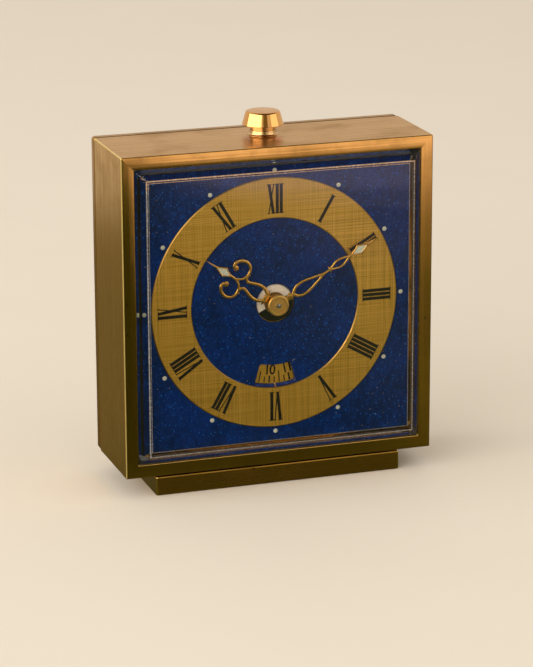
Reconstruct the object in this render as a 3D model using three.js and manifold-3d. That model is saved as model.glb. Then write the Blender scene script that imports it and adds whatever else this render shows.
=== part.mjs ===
// Travel alarm clock: a square brass case on a low foot, with a bevelled clear front, a stone-blue dial with a raised
// chapter ring, fretted hands, a 24-hour alarm disc seen through a window, a day-and-night disc at the centre, a
// push-down alarm button on top, and an eight-day mechanical alarm movement with folding winding keys at the back.
//
// Millimetres, +Z up, X to the right as seen from the front, +Y towards the back. The inner group's own origin is the
// dial centre in the plane of the case's front face; the whole is then set down so that the foot stands on z = 0.
import * as THREE from 'three';
import { mergeVertices } from 'three/addons/utils/BufferGeometryUtils.js';
import Module from 'manifold-3d';

const wasm = await Module();
wasm.setup();

// ---------------------------------------------------------------- driving dimensions
const CASE_W = 75.0;            // outside width of the case
const CASE_H = 75.8;            // outside height of the case
const CASE_D = 22.5;            // depth of the case tube
const WALL = 1.8;               // thickness of the case tube
const COVER_Y0 = 22.8;          // rear cover: front of its rim (a 0.3 shadow gap behind the case)
const COVER_Y1 = 25.4;          // rear cover: back face
const COVER_R = 1.5;            // corner radius of the rear cover
const FOOT_GAP = 0.6;           // shadow gap between case and foot
const FOOT_H = 4.6;             // height of the foot block
const FOOT_W = 60.2;            // width of the foot
const FOOT_Y0 = 1.0;            // front of the foot behind the case front
const FOOT_Y1 = 22.0;           // back of the foot
const BEZEL_IN_W = 68.9;        // clear opening of the front frame
const BEZEL_IN_H = 69.7;
const CRYSTAL_PROUD = 2.1;      // how far the crystal stands in front of the case
const CRYSTAL_T = 1.8;          // thickness of the crystal
const DIAL_Y = 4.2;             // front of the dial plate
const DIAL_T = 0.8;             // thickness of the dial plate
const RING_RO = 30.0;           // chapter ring outer radius
const RING_RI = 20.3;           // chapter ring inner radius
const RING_T = 0.3;             // chapter ring thickness
const CENTRE_HOLE_R = 4.6;      // hole for the day-and-night disc
const WIN_RI = 14.9;            // alarm window, inner and outer radius
const WIN_RO = 19.2;
const WIN_HALF = 14.7;          // alarm window, half angle in degrees
const ALARM_TEETH = 48, ALARM_RP = 21.6;    // toothed edge of the alarm disc
const SET_TEETH = 8, SET_RP = 3.6;          // alarm setting pinion
const HOUR_HAND_DEG = 305.0;    // clockwise from twelve
const MINUTE_HAND_DEG = 60.0;
const HOUR_HAND_Y = 2.8, MINUTE_HAND_Y = 2.1, HAND_T = 0.25;
const BUTTON_X = 0.6, BUTTON_Y = 13.9;      // axis of the alarm button
const BUTTON_CAP_R = 4.8, BUTTON_TOP_R = 3.88, BUTTON_NECK_R = 3.15;
const BUTTON_CAP_Z = 2.7, BUTTON_TOP_Z = 5.6; // heights above the case top
const PLATE_HW = 29.0, PLATE_HH = 33.0;     // movement plates, half width and half height
const FRONT_PLATE = [9.2, 10.4];
const BACK_PLATE = [18.0, 19.0];
const KEY_AXIS_Y = 27.5;        // height of the folding bows' hinge above the front face
const Z_DIAL = FOOT_H + FOOT_GAP + CASE_H / 2;   // dial centre above the surface that the foot stands on
const KNOB_Y1 = 29.6;           // furthest point of the rear knobs
const Y_MID = (KNOB_Y1 - CRYSTAL_PROUD) / 2;     // middle of the whole depth

// gear positions in the movement, [x, z] from the dial centre
const D2R = Math.PI / 180;
const at = (p, d, deg) => [p[0] + d * Math.cos(deg * D2R), p[1] + d * Math.sin(deg * D2R)];
const CENTRE = [0, 0];
const SECOND = at(CENTRE, 8.75, 200);
const TIME_BARREL = at(SECOND, 11.55, 211.5);
const THIRD = at(CENTRE, 8.1, 60);
const FOURTH = at(THIRD, 6.8, 110);
const ESCAPE = at(FOURTH, 6.16, 0);
const PALLET = at(ESCAPE, 4.3, 0);
const BALANCE = at(PALLET, 5.82, 0);
const ALARM_BARREL = [18.0, -9.0];
const HAMMER_WHEEL = at(ALARM_BARREL, 9.72, 75);
const HAMMER = [25.3, 6.2];
const MINUTE_WHEEL = at(CENTRE, 10.0, 150);
const INTERMEDIATE = at(CENTRE, 11.0, 320);
const SET_ARBOR = [0, -(ALARM_RP + SET_RP)];
const STOP_PIVOT = [9.0, 25.5];
const PILLARS = [[-25.5, 28.5], [25.5, 28.5], [-25.5, -28.5], [25.5, -28.5]];
const DIAL_FEET = [[-27, 27], [27, 27], [-27, -27], [27, -27]];
const SCREWS = [[-32.2, 32.6], [32.2, 32.6], [-32.2, -32.6], [32.2, -32.6]];
const FOOT_SCREWS = [-20, 20];
const REG_R = 8.5;              // radius of the regulator's tab about the balance axis
const REG_A = 45;               // where the tab stands about that axis, in degrees from +X towards +Z

// ---------------------------------------------------------------- geometry helpers
// Turns faces outward when a geometry comes out inside-out.
function outward(g) {
  let h = g.clone();
  for (const k of Object.keys(h.attributes)) if (k !== 'position') h.deleteAttribute(k);
  h = mergeVertices(h, 1e-5);
  const p = h.attributes.position, ix = h.index.array;
  let v = 0;
  for (let i = 0; i < ix.length; i += 3) {
    const a = new THREE.Vector3().fromBufferAttribute(p, ix[i]);
    const b = new THREE.Vector3().fromBufferAttribute(p, ix[i + 1]);
    const c = new THREE.Vector3().fromBufferAttribute(p, ix[i + 2]);
    v += a.dot(b.cross(c));
  }
  if (v < 0) for (let i = 0; i < ix.length; i += 3) { const t = ix[i]; ix[i] = ix[i + 1]; ix[i + 1] = t; }
  return h;
}
function toSolid(g) {
  const h = outward(g);
  return new wasm.Manifold(new wasm.Mesh({
    numProp: 3,
    vertProperties: new Float32Array(h.attributes.position.array),
    triVerts: new Uint32Array(h.index.array),
  }));
}
function toGeometry(m) {
  const mesh = m.getMesh();
  const g = new THREE.BufferGeometry();
  g.setAttribute('position', new THREE.BufferAttribute(new Float32Array(mesh.vertProperties), 3));
  g.setIndex(new THREE.BufferAttribute(new Uint32Array(mesh.triVerts), 1));
  return g;
}
const join = (...gs) => toGeometry(gs.map(toSolid).reduce((a, b) => a.add(b)));
const cut = (g, ...tools) => toGeometry(tools.map(toSolid).reduce((a, b) => a.subtract(b), toSolid(g)));

const V = (x, y) => new THREE.Vector2(x, y);
const disc = (n, r, x = 0, z = 0, phase = 0) =>
  Array.from({ length: n }, (_, i) => V(x + r * Math.cos(phase + 2 * Math.PI * i / n), z + r * Math.sin(phase + 2 * Math.PI * i / n)));
const rect = (hw, hh, x = 0, z = 0) => [V(x - hw, z - hh), V(x + hw, z - hh), V(x + hw, z + hh), V(x - hw, z + hh)];
function roundRect(hw, hh, r, n = 2, x = 0, z = 0) {
  const out = [];
  for (const [cx, cz, a0] of [[hw - r, hh - r, 0], [-(hw - r), hh - r, 90], [-(hw - r), -(hh - r), 180], [hw - r, -(hh - r), 270]])
    for (let i = 0; i <= n; i++) { const a = (a0 + 90 * i / n) * D2R; out.push(V(x + cx + r * Math.cos(a), z + cz + r * Math.sin(a))); }
  return out;
}
// Prism standing on an outline in the X-Z plane, from y0 to y1.
function prism(pts, y0, y1, holes = []) {
  const s = new THREE.Shape(pts);
  for (const h of holes) s.holes.push(new THREE.Path(h));
  const g = new THREE.ExtrudeGeometry(s, { depth: y1 - y0, bevelEnabled: false, curveSegments: 1, steps: 1 });
  g.rotateX(Math.PI / 2);
  g.translate(0, y1, 0);
  return g;
}
// Prism standing on an outline in the X-Y plane, from z0 to z1.
function prismZ(pts, z0, z1) {
  const g = new THREE.ExtrudeGeometry(new THREE.Shape(pts), { depth: z1 - z0, bevelEnabled: false, curveSegments: 1, steps: 1 });
  g.translate(0, 0, z0);
  return g;
}
// Prism along X on an outline given as [y, z].
function prismX(pts, x0, x1) {
  const g = new THREE.ExtrudeGeometry(new THREE.Shape(pts), { depth: x1 - x0, bevelEnabled: false, curveSegments: 1, steps: 1 });
  // outline x -> y, outline y -> z, depth -> x
  g.applyMatrix4(new THREE.Matrix4().set(0, 0, 1, x0, 1, 0, 0, 0, 0, 1, 0, 0, 0, 0, 0, 1));
  return g;
}
const rod = (r, y0, y1, n = 12, p = CENTRE) => prism(disc(n, r, p[0], p[1]), y0, y1);
// Solid through a stack of outlines of equal count, each {y, pts}.
function loft(levels) {
  const n = levels[0].pts.length, pos = [], ix = [];
  for (const l of levels) for (const p of l.pts) pos.push(p.x, l.y, p.y);
  for (let k = 0; k + 1 < levels.length; k++)
    for (let i = 0; i < n; i++) {
      const a = k * n + i, b = k * n + (i + 1) % n, c = a + n, d = b + n;
      ix.push(a, b, c, b, d, c);
    }
  const last = (levels.length - 1) * n;
  for (const [i, j, k] of THREE.ShapeUtils.triangulateShape(levels[0].pts, [])) ix.push(i, k, j);
  for (const [i, j, k] of THREE.ShapeUtils.triangulateShape(levels[levels.length - 1].pts, [])) ix.push(last + i, last + j, last + k);
  const g = new THREE.BufferGeometry();
  g.setAttribute('position', new THREE.BufferAttribute(new Float32Array(pos), 3));
  g.setIndex(ix);
  return g;
}
// Turned piece about the Y axis through p; profile of [r, y], from the axis to the axis or closed on itself.
function turned(profile, n = 24, p = CENTRE) {
  const g = new THREE.LatheGeometry(profile.map(([r, y]) => V(r, y)), n);
  g.translate(p[0], 0, p[1]);
  return g;
}
// Pointed-tooth gear outline; a tooth's tip stands at the angle `phase` (degrees from +X towards +Z).
function gearPts(N, rp, phase, p = CENTRE, ka = 0.2, kb = 0.38) {
  const pitch = 2 * Math.PI * rp / N, out = [];
  for (let i = 0; i < N; i++) {
    const a = phase * D2R + 2 * Math.PI * i / N, b = a + Math.PI / N;
    out.push(V(p[0] + (rp + ka * pitch) * Math.cos(a), p[1] + (rp + ka * pitch) * Math.sin(a)));
    out.push(V(p[0] + (rp - kb * pitch) * Math.cos(b), p[1] + (rp - kb * pitch) * Math.sin(b)));
  }
  return out;
}
const gear = (N, rp, y0, y1, phase, p = CENTRE, holes = []) => prism(gearPts(N, rp, phase, p), y0, y1, holes);
const dirDeg = (a, b) => Math.atan2(b[1] - a[1], b[0] - a[0]) / D2R;
// Phases of a meshing pair: the driver shows a tooth on the line of centres, the driven gear a gap.
const tooth = (a, b) => dirDeg(a, b);
const gap = (a, b, N) => dirDeg(a, b) + 180 / N;

const clock = new THREE.Group();
clock.position.set(0, -Y_MID, Z_DIAL);
const root = new THREE.Group();
root.add(clock);
function add(name, geometry, color, roughness = 0.35, metalness = 1.0, extra = {}) {
  const m = new THREE.Mesh(outward(geometry), new THREE.MeshStandardMaterial({ color, roughness, metalness, ...extra }));
  m.name = name;
  clock.add(m);
  return m;
}
const BRASS = 0xb98a45, GILT = 0xd9a650, STEEL = 0x9a9a9c, DARK = 0x1c1a18, BLUE = 0x0f1f4d;

// ---------------------------------------------------------------- case
{
  const tube = prism(rect(CASE_W / 2, CASE_H / 2), 0, CASE_D, [rect(CASE_W / 2 - WALL, CASE_H / 2 - WALL)]);
  // corner lugs carry the rear cover; each reaches back to the cover's floor and is tapped for a screw
  const lugs = SCREWS.map(([x, z]) => {
    const sx = Math.sign(x), sz = Math.sign(z), x0 = x - sx * 2.8, z0 = z - sz * 2.8, x1 = sx * (CASE_W / 2 - 0.9), z1 = sz * (CASE_H / 2 - 0.9);
    return prism([V(Math.min(x0, x1), Math.min(z0, z1)), V(Math.max(x0, x1), Math.min(z0, z1)), V(Math.max(x0, x1), Math.max(z0, z1)), V(Math.min(x0, x1), Math.max(z0, z1))], 14.0, CASE_D);
  });
  const drills = SCREWS.map(([x, z]) => rod(1.15, 16.0, CASE_D + 1, 10, [x, z]));
  const buttonHole = prismZ(disc(20, 3.42, BUTTON_X, BUTTON_Y), CASE_H / 2 - WALL - 1, CASE_H / 2 + 1);
  const footHoles = FOOT_SCREWS.map((x) => prismZ(disc(10, 1.35, x, 11.5), -CASE_H / 2 - 1, -CASE_H / 2 + WALL + 1));
  add('case_body', cut(join(tube, ...lugs), ...drills, buttonHole, ...footHoles), BRASS, 0.34);
}
{
  // inner frame that holds the crystal in: flat rim, then a lip that slopes in
  const ow = CASE_W / 2 - WALL - 0.05, oh = CASE_H / 2 - WALL - 0.05, iw = BEZEL_IN_W / 2, ih = BEZEL_IN_H / 2;
  const body = prism(rect(ow, oh), 0.0, 1.05);
  const hole = loft([{ y: -0.5, pts: rect(iw + 0.95, ih + 0.95) }, { y: 0.4, pts: rect(iw, ih) }, { y: 1.5, pts: rect(iw, ih) }]);
  add('front_bezel', cut(body, hole), BRASS, 0.3);
}
{
  const hw = BEZEL_IN_W / 2 - 0.1, hh = BEZEL_IN_H / 2 - 0.1, b = CRYSTAL_PROUD + 0.1;
  const outer = join(
    loft([{ y: -CRYSTAL_PROUD, pts: rect(hw - b, hh - b) }, { y: 0.1, pts: rect(hw, hh) }, { y: 1.6, pts: rect(hw, hh) }]),
    prism(rect(CASE_W / 2 - WALL - 0.25, CASE_H / 2 - WALL - 0.25), 1.1, 2.4));
  const k = CRYSTAL_T * (Math.SQRT2 - 1);
  const inner = loft([
    { y: -CRYSTAL_PROUD + CRYSTAL_T, pts: rect(hw - b - k, hh - b - k) },
    { y: 0.1 + k, pts: rect(hw - CRYSTAL_T, hh - CRYSTAL_T) },
    { y: 3, pts: rect(hw - CRYSTAL_T, hh - CRYSTAL_T) }]);
  add('crystal', cut(outer, inner), 0xffffff, 0.05, 0.0, { transparent: true, opacity: 0.25 });
}
add('crystal_gasket', prism(rect(35.3, 35.7), 2.45, DIAL_Y - 0.05, [rect(33.4, 33.8)]), DARK, 0.8, 0.0);
add('dial_retaining_frame', prism(rect(35.55, 35.95), DIAL_Y + DIAL_T + 0.05, 6.6, [rect(31.6, 32.0)]), BRASS, 0.5);

// ---------------------------------------------------------------- dial
{
  // window at six: a ring sector with rounded corners
  const win = [], n = 8, a = WIN_HALF * D2R, rc = 0.9;
  const pol = (r, t) => V(r * Math.sin(t), -r * Math.cos(t));
  const ao = a - rc / WIN_RO, ai = a - rc / WIN_RI;
  for (let i = 0; i <= n; i++) win.push(pol(WIN_RO, -ao + 2 * ao * i / n));
  win.push(pol(WIN_RO - rc * 0.3, a - rc * 0.3 / WIN_RO), pol(WIN_RO - rc, a), pol(WIN_RI + rc, a), pol(WIN_RI + rc * 0.3, a - rc * 0.3 / WIN_RI));
  for (let i = 0; i <= n; i++) win.push(pol(WIN_RI, ai - 2 * ai * i / n));
  win.push(pol(WIN_RI + rc * 0.3, -a + rc * 0.3 / WIN_RI), pol(WIN_RI + rc, -a), pol(WIN_RO - rc, -a), pol(WIN_RO - rc * 0.3, -a + rc * 0.3 / WIN_RO));
  const plate = prism(rect(35.4, 35.8), DIAL_Y, DIAL_Y + DIAL_T, [disc(32, CENTRE_HOLE_R), win]);
  const feet = DIAL_FEET.map((p) => rod(1.3, DIAL_Y + DIAL_T - 0.2, FRONT_PLATE[0] - 0.05, 8, p));
  add('dial_plate', join(plate, ...feet), BLUE, 0.4, 0.0);
}
add('chapter_ring', prism(disc(48, RING_RO), DIAL_Y - RING_T, DIAL_Y - 0.01, [disc(48, RING_RI)]), 0xc59a45, 0.4);
// 24-hour alarm disc: toothed edge, hub bored for the day wheel's pipe
add('alarm_disc', cut(join(gear(ALARM_TEETH, ALARM_RP, 5.15, 5.55, tooth(CENTRE, SET_ARBOR)), rod(4.0, 5.4, 6.0, 16)), rod(3.15, 5, 6.5, 16)), 0xcda85a, 0.4);
add('day_night_disc', prism(disc(28, 4.4), 4.45, 4.75, [disc(16, 2.6)]), 0xdddddd, 0.4, 0.2);

// ---------------------------------------------------------------- hands
// Hand outlines are drawn along u (outward) and v (across); every stroke is mirrored about v = 0.
function place(deg, u, v) {
  const a = deg * D2R;
  return V(u * Math.sin(a) + v * Math.cos(a), u * Math.cos(a) - v * Math.sin(a));
}
function stroke(deg, pts, w0, w1, n, y) {
  const c = new THREE.SplineCurve(pts.map(([u, v]) => V(u, v)));
  const L = [], R = [];
  for (let i = 0; i <= n; i++) {
    const t = i / n, p = c.getPoint(t), d = c.getTangent(t), w = (w0 + (w1 - w0) * t) / 2;
    L.push([p.x - d.y * w, p.y + d.x * w]);
    R.unshift([p.x + d.y * w, p.y - d.x * w]);
  }
  return prism([...L, ...R].map(([u, v]) => place(deg, u, v)), y, y + HAND_T);
}
const both = (f) => [f(1), f(-1)];
const mir = (pts, s) => pts.map(([u, v]) => [u, v * s]);
const closed = (half) => [...half, ...half.slice().reverse().map(([u, v]) => [u, -v])];
const outline = (deg, half, y, dy = HAND_T) => prism(closed(half).map(([u, v]) => place(deg, u, v)), y, y + dy);
{
  const A = HOUR_HAND_DEG, y = HOUR_HAND_Y;
  const kite = outline(A, [[11.5, 0.3], [12.4, 0.26], [13.5, 0.32], [14.3, 0.55], [14.9, 0.87], [15.35, 1.24], [16.3, 0.8], [17.2, 0.45], [18.0, 0.25], [19.2, 0.15], [20.7, 0.05]], y);
  const win = outline(A, [[13.9, 0.04], [14.35, 0.24], [14.95, 0.53], [15.42, 0.84], [16.5, 0.42], [17.3, 0.05]], y - 1, 2);
  const scroll = [[11.9, 0.1], [11.15, 0.5], [10.5, 1.1], [10.1, 1.95], [10.05, 2.9], [10.4, 3.8], [11.2, 4.45], [12.15, 4.65], [13.1, 4.42], [13.85, 3.85], [14.25, 3.1], [14.1, 2.4]];
  const arm = [[10.05, 2.0], [9.78, 1.25], [9.2, 0.9], [8.4, 1.05], [7.5, 1.4], [6.4, 1.68], [5.3, 1.72], [4.35, 1.48], [3.55, 0.95], [2.6, 0.3]];
  const parts = [
    kite,
    ...both((s) => stroke(A, mir(scroll, s), 0.5, 0.78, 13, y)),
    ...both((s) => prism(disc(10, 0.66, ...place(A, 13.5, 2.15 * s).toArray()), y, y + HAND_T)),
    ...both((s) => stroke(A, mir(arm, s), 0.6, 0.7, 10, y)),
    ...both((s) => prism([[10.2, 2.0], [10.1, 2.75], [9.3, 2.42]].map(([u, v]) => place(A, u, v * s)), y, y + HAND_T)),
    ...both((s) => prism([[2.4, 0.5], [3.75, 1.0], [3.25, 1.95], [2.9, 1.2]].map(([u, v]) => place(A, u, v * s)), y, y + HAND_T)),
    prism(disc(18, 2.3), y, y + HAND_T),
    outline(A, [[1.2, 0.8], [3.4, 0.95], [3.9, 0.3]], y),
  ];
  add('hour_hand', cut(join(...parts), win, rod(1.85, y - 1, y + 1, 14)), GILT, 0.25);
}
{
  const A = MINUTE_HAND_DEG, y = MINUTE_HAND_Y;
  const kite = outline(A, [[19.8, 0.3], [20.3, 0.27], [21.2, 0.36], [22.0, 0.62], [22.6, 0.94], [23.15, 1.33], [24.0, 0.9], [25.0, 0.58], [26.0, 0.4], [27.0, 0.22], [28.15, 0.05]], y);
  const win = outline(A, [[21.5, 0.05], [21.9, 0.22], [22.5, 0.54], [23.15, 0.92], [24.1, 0.48], [25.1, 0.05]], y - 1, 2);
  const small = [[20.2, 0.1], [19.0, 0.58], [18.0, 0.85], [16.9, 0.82], [15.95, 0.46], [15.0, 0.1]];
  const big = [[12.9, 0.1], [11.4, 0.53], [9.9, 0.94], [8.35, 1.34], [7.0, 1.45], [5.9, 1.26], [5.1, 0.77], [4.5, 0.1]];
  const parts = [
    kite,
    ...both((s) => stroke(A, mir(small, s), 0.46, 0.46, 7, y)),
    outline(A, [[14.5, 0.12], [14.62, 0.9], [14.72, 0.98], [14.95, 0.5], [15.15, 0.3]], y),
    outline(A, [[12.4, 0.3], [15.2, 0.26]], y),
    ...both((s) => stroke(A, mir(big, s), 0.5, 0.6, 9, y)),
    outline(A, [[1.5, 0.8], [3.4, 0.6], [3.5, 1.02], [3.8, 1.02], [4.0, 0.55], [4.9, 0.3]], y),
    prism(disc(18, 2.35), y, y + HAND_T),
  ];
  add('minute_hand', cut(join(...parts), win, rod(0.76, y - 1, y + 1, 12)), GILT, 0.25);
}
add('hand_cap', turned([[0.76, 1.62], [1.75, 1.62], [1.95, 1.4], [2.35, 1.4], [2.5, 1.55], [2.5, 2.07], [0.76, 2.07], [0.76, 1.62]], 16), GILT, 0.22);

// ---------------------------------------------------------------- motion work behind the dial
add('centre_arbor', turned([[0, 1.3], [0.45, 1.42], [0.45, 20.0], [0.8, 20.0], [0.8, 28.6], [0, 28.6]], 14), STEEL, 0.3);
add('cannon_pinion', cut(join(rod(0.7, 1.5, 2.6, 14), rod(0.98, 2.4, 9.05, 14), gear(10, 2.5, 8.1, 8.8, gap(CENTRE, MINUTE_WHEEL, 10))), rod(0.52, 0, 10, 14)), STEEL, 0.3);
add('minute_wheel', cut(join(gear(30, 7.5, 8.2, 8.65, tooth(MINUTE_WHEEL, CENTRE), MINUTE_WHEEL), rod(1.0, 7.2, 9.0, 10, MINUTE_WHEEL), gear(8, 2.0, 7.35, 8.3, tooth(MINUTE_WHEEL, CENTRE), MINUTE_WHEEL)), rod(0.6, 6, 10, 10, MINUTE_WHEEL)), BRASS, 0.4);
add('hour_wheel', cut(join(rod(1.75, 2.6, 7.8, 16), gear(15, 5.5, 6.8, 7.3, tooth(CENTRE, INTERMEDIATE)), gear(32, 8.0, 7.4, 7.85, gap(CENTRE, MINUTE_WHEEL, 32)), rod(3.0, 7.0, 7.6, 12)), rod(1.12, 2, 9, 14)), BRASS, 0.4);
add('intermediate_wheel', cut(join(gear(15, 5.5, 6.85, 7.25, gap(INTERMEDIATE, CENTRE, 15), INTERMEDIATE), rod(1.1, 6.1, 8.9, 10, INTERMEDIATE), gear(12, 11 / 3, 6.15, 6.7, tooth(INTERMEDIATE, CENTRE), INTERMEDIATE), rod(2.5, 6.5, 7.0, 10, INTERMEDIATE)), rod(0.6, 5, 10, 10, INTERMEDIATE)), BRASS, 0.4);
add('day_wheel', cut(join(rod(2.5, 4.5, 6.4, 16), rod(2.9, 4.85, 6.3, 16), gear(24, 22 / 3, 6.2, 6.6, gap(CENTRE, INTERMEDIATE, 24))), rod(1.95, 4, 7, 18)), BRASS, 0.4);
add('alarm_set_arbor', join(gear(SET_TEETH, SET_RP, 5.1, 5.7, gap(SET_ARBOR, CENTRE, SET_TEETH), SET_ARBOR), rod(0.8, 5.4, 28.6, 12, SET_ARBOR)), STEEL, 0.35);

// ---------------------------------------------------------------- movement frame
const PIVOT_HOLE = 0.38, PIVOT_R = 0.26;
const hole = (p, r, n = 6) => disc(n, r, p[0], p[1]);
const trainAxes = [SECOND, THIRD, FOURTH, ESCAPE, PALLET, BALANCE];
add('front_plate', join(
  prism(roundRect(PLATE_HW, PLATE_HH, 5), FRONT_PLATE[0], FRONT_PLATE[1], [
    hole(CENTRE, 1.2, 10), ...trainAxes.map((p) => hole(p, PIVOT_HOLE)), hole(HAMMER_WHEEL, PIVOT_HOLE),
    hole(TIME_BARREL, 1.0, 8), hole(ALARM_BARREL, 1.0, 8), hole(SET_ARBOR, 1.0, 8), ...PILLARS.map((p) => hole(p, 1.08, 8))]),
  // studs for the minute wheel and the intermediate wheel
  rod(0.5, 6.9, 9.3, 10, MINUTE_WHEEL), rod(0.5, 6.05, 9.3, 10, INTERMEDIATE)), BRASS, 0.45);
add('back_plate', prism(roundRect(PLATE_HW, PLATE_HH, 5), BACK_PLATE[0], BACK_PLATE[1], [
  hole(CENTRE, 1.1, 10), ...trainAxes.map((p) => hole(p, PIVOT_HOLE)), hole(HAMMER_WHEEL, 1.0, 10), hole(HAMMER, 0.6, 8),
  hole(TIME_BARREL, 1.75, 8), hole(ALARM_BARREL, 1.75, 8), hole(SET_ARBOR, 1.0, 8), hole(STOP_PIVOT, 0.62, 8), ...PILLARS.map((p) => hole(p, 1.08, 8))]), BRASS, 0.45);
PILLARS.forEach((p, i) => add(`plate_pillar_${i + 1}`, turned([[0, FRONT_PLATE[0] + 0.2], [0.95, FRONT_PLATE[0] + 0.2], [0.95, FRONT_PLATE[1] + 0.05], [1.8, FRONT_PLATE[1] + 0.05], [1.8, BACK_PLATE[0] - 0.05], [0.95, BACK_PLATE[0] - 0.05], [0.95, BACK_PLATE[1] - 0.1], [0, BACK_PLATE[1] - 0.1]], 8, p), BRASS, 0.4));

// arbor of a train wheel: pivots in the plates' holes, a thicker body between them
const arbor = (p, r, n = 6) => turned([[0, FRONT_PLATE[0] + 0.3], [PIVOT_R, FRONT_PLATE[0] + 0.3], [PIVOT_R, FRONT_PLATE[1] + 0.1], [r, FRONT_PLATE[1] + 0.1], [r, BACK_PLATE[0] - 0.1], [PIVOT_R, BACK_PLATE[0] - 0.1], [PIVOT_R, BACK_PLATE[1] - 0.2], [0, BACK_PLATE[1] - 0.2]], n, p);

// going train, from the spring barrel to the balance
function springBarrel(name, p, N, rp, phase, rDrum) {
  add(name, cut(join(gear(N, rp, 10.8, 11.7, phase, p), rod(rDrum, 11.5, 16.0, 18, p)), rod(rDrum - 0.7, 12.1, 17, 18, p), rod(1.55, 10, 13, 10, p)), BRASS, 0.4);
}
function spiral(p, r0, r1, turns, seg, w, y0, y1) {
  const n = Math.round(turns * seg), O = [], I = [];
  for (let i = 0; i <= n; i++) {
    const a = 2 * Math.PI * i / seg, r = r0 + (r1 - r0) * i / n;
    O.push(V(p[0] + (r + w / 2) * Math.cos(a), p[1] + (r + w / 2) * Math.sin(a)));
    I.unshift(V(p[0] + (r - w / 2) * Math.cos(a), p[1] + (r - w / 2) * Math.sin(a)));
  }
  return prism([...O, ...I], y0, y1);
}
springBarrel('time_barrel', TIME_BARREL, 48, 9.9, tooth(TIME_BARREL, SECOND), 9.1);
add('time_mainspring', spiral(TIME_BARREL, 2.3, 7.7, 4, 8, 0.45, 12.3, 15.7), STEEL, 0.3);
add('second_wheel', join(arbor(SECOND, 0.5), gear(8, 1.65, 10.7, 12.0, gap(SECOND, TIME_BARREL, 8), SECOND), gear(36, 7.5, 16.5, 16.95, tooth(SECOND, CENTRE), SECOND)), BRASS, 0.4);
add('centre_wheel', cut(join(rod(0.85, 10.6, 17.7, 14), gear(6, 1.25, 16.3, 17.2, gap(CENTRE, SECOND, 6)), gear(48, 7.2, 14.4, 14.85, tooth(CENTRE, THIRD))), rod(0.55, 10, 18, 14)), BRASS, 0.4);
add('third_wheel', join(arbor(THIRD, 0.4), gear(6, 0.9, 14.0, 15.3, gap(THIRD, CENTRE, 6), THIRD), gear(45, 6.0, 12.6, 13.0, tooth(THIRD, FOURTH), THIRD)), BRASS, 0.4);
add('fourth_wheel', join(arbor(FOURTH, 0.36), gear(6, 0.8, 12.2, 13.4, gap(FOURTH, THIRD, 6), FOURTH), gear(48, 5.6, 11.0, 11.35, tooth(FOURTH, ESCAPE), FOURTH)), BRASS, 0.4);
add('escape_wheel', join(arbor(ESCAPE, 0.28), gear(6, 0.56, 10.7, 11.7, gap(ESCAPE, FOURTH, 6), ESCAPE), prism(gearPts(15, 2.55, 12, ESCAPE, 0.42, 0.42), 15.5, 15.85)), STEEL, 0.3);
{
  const [x, z] = PALLET;
  // anchor with two pallets that stand just clear of the escape wheel, and a forked tail towards the balance
  const anchor = [[0.6, -0.35], [3.0, -0.2], [3.6, -0.55], [3.75, -0.4], [3.45, 0], [3.75, 0.4], [3.6, 0.55], [3.0, 0.2], [0.6, 0.35], [0.2, 0.75], [-1.0, 2.2], [-1.75, 2.6], [-1.45, 1.85], [-0.6, 0.6], [-0.6, -0.6], [-1.45, -1.85], [-1.75, -2.6], [-1.0, -2.2], [0.2, -0.75]];
  add('pallet_fork', join(arbor(PALLET, 0.3), prism(anchor.map(([u, v]) => V(x + u, z + v)), 15.5, 15.9)), STEEL, 0.3);
}
{
  // the rim passes 0.12 in front of the pallet arbor
  const rim = cut(prism(disc(20, 5.4, ...BALANCE), 12.4, 13.3), prism(disc(20, 4.55, ...BALANCE), 12, 14));
  const arm = prism(rect(4.9, 0.45, ...BALANCE), 12.6, 13.1);
  const roller = rod(1.5, 14.6, 15.0, 12, BALANCE), pin = rod(0.18, 14.8, 16.0, 6, [BALANCE[0] - 1.25, BALANCE[1]]);
  add('balance_wheel', join(arbor(BALANCE, 0.32), rim, arm, roller, pin), GILT, 0.3);
  add('hairspring', spiral(BALANCE, 0.7, 3.4, 3, 9, 0.14, 16.8, 17.2), 0x3a4a8a, 0.3);
}
{
  // index lever: turns on a boss round the balance axis, its tab comes out through the slot in the rear cover
  const ringPart = prism(disc(16, 2.0, ...BALANCE), 19.15, 19.65, [disc(12, 1.0, ...BALANCE)]);
  const aim = (pts) => pts.map((q) => q.rotateAround(V(...BALANCE), (REG_A - 90) * D2R));
  const bar = prism(aim(rect(0.6, 3.65, BALANCE[0], BALANCE[1] + 5.25)), 19.15, 19.65);
  const tab = prism(aim(rect(0.45, 0.45, BALANCE[0], BALANCE[1] + REG_R)), 19.3, 26.4);
  add('regulator_lever', join(ringPart, bar, tab), STEEL, 0.3);
}

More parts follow.
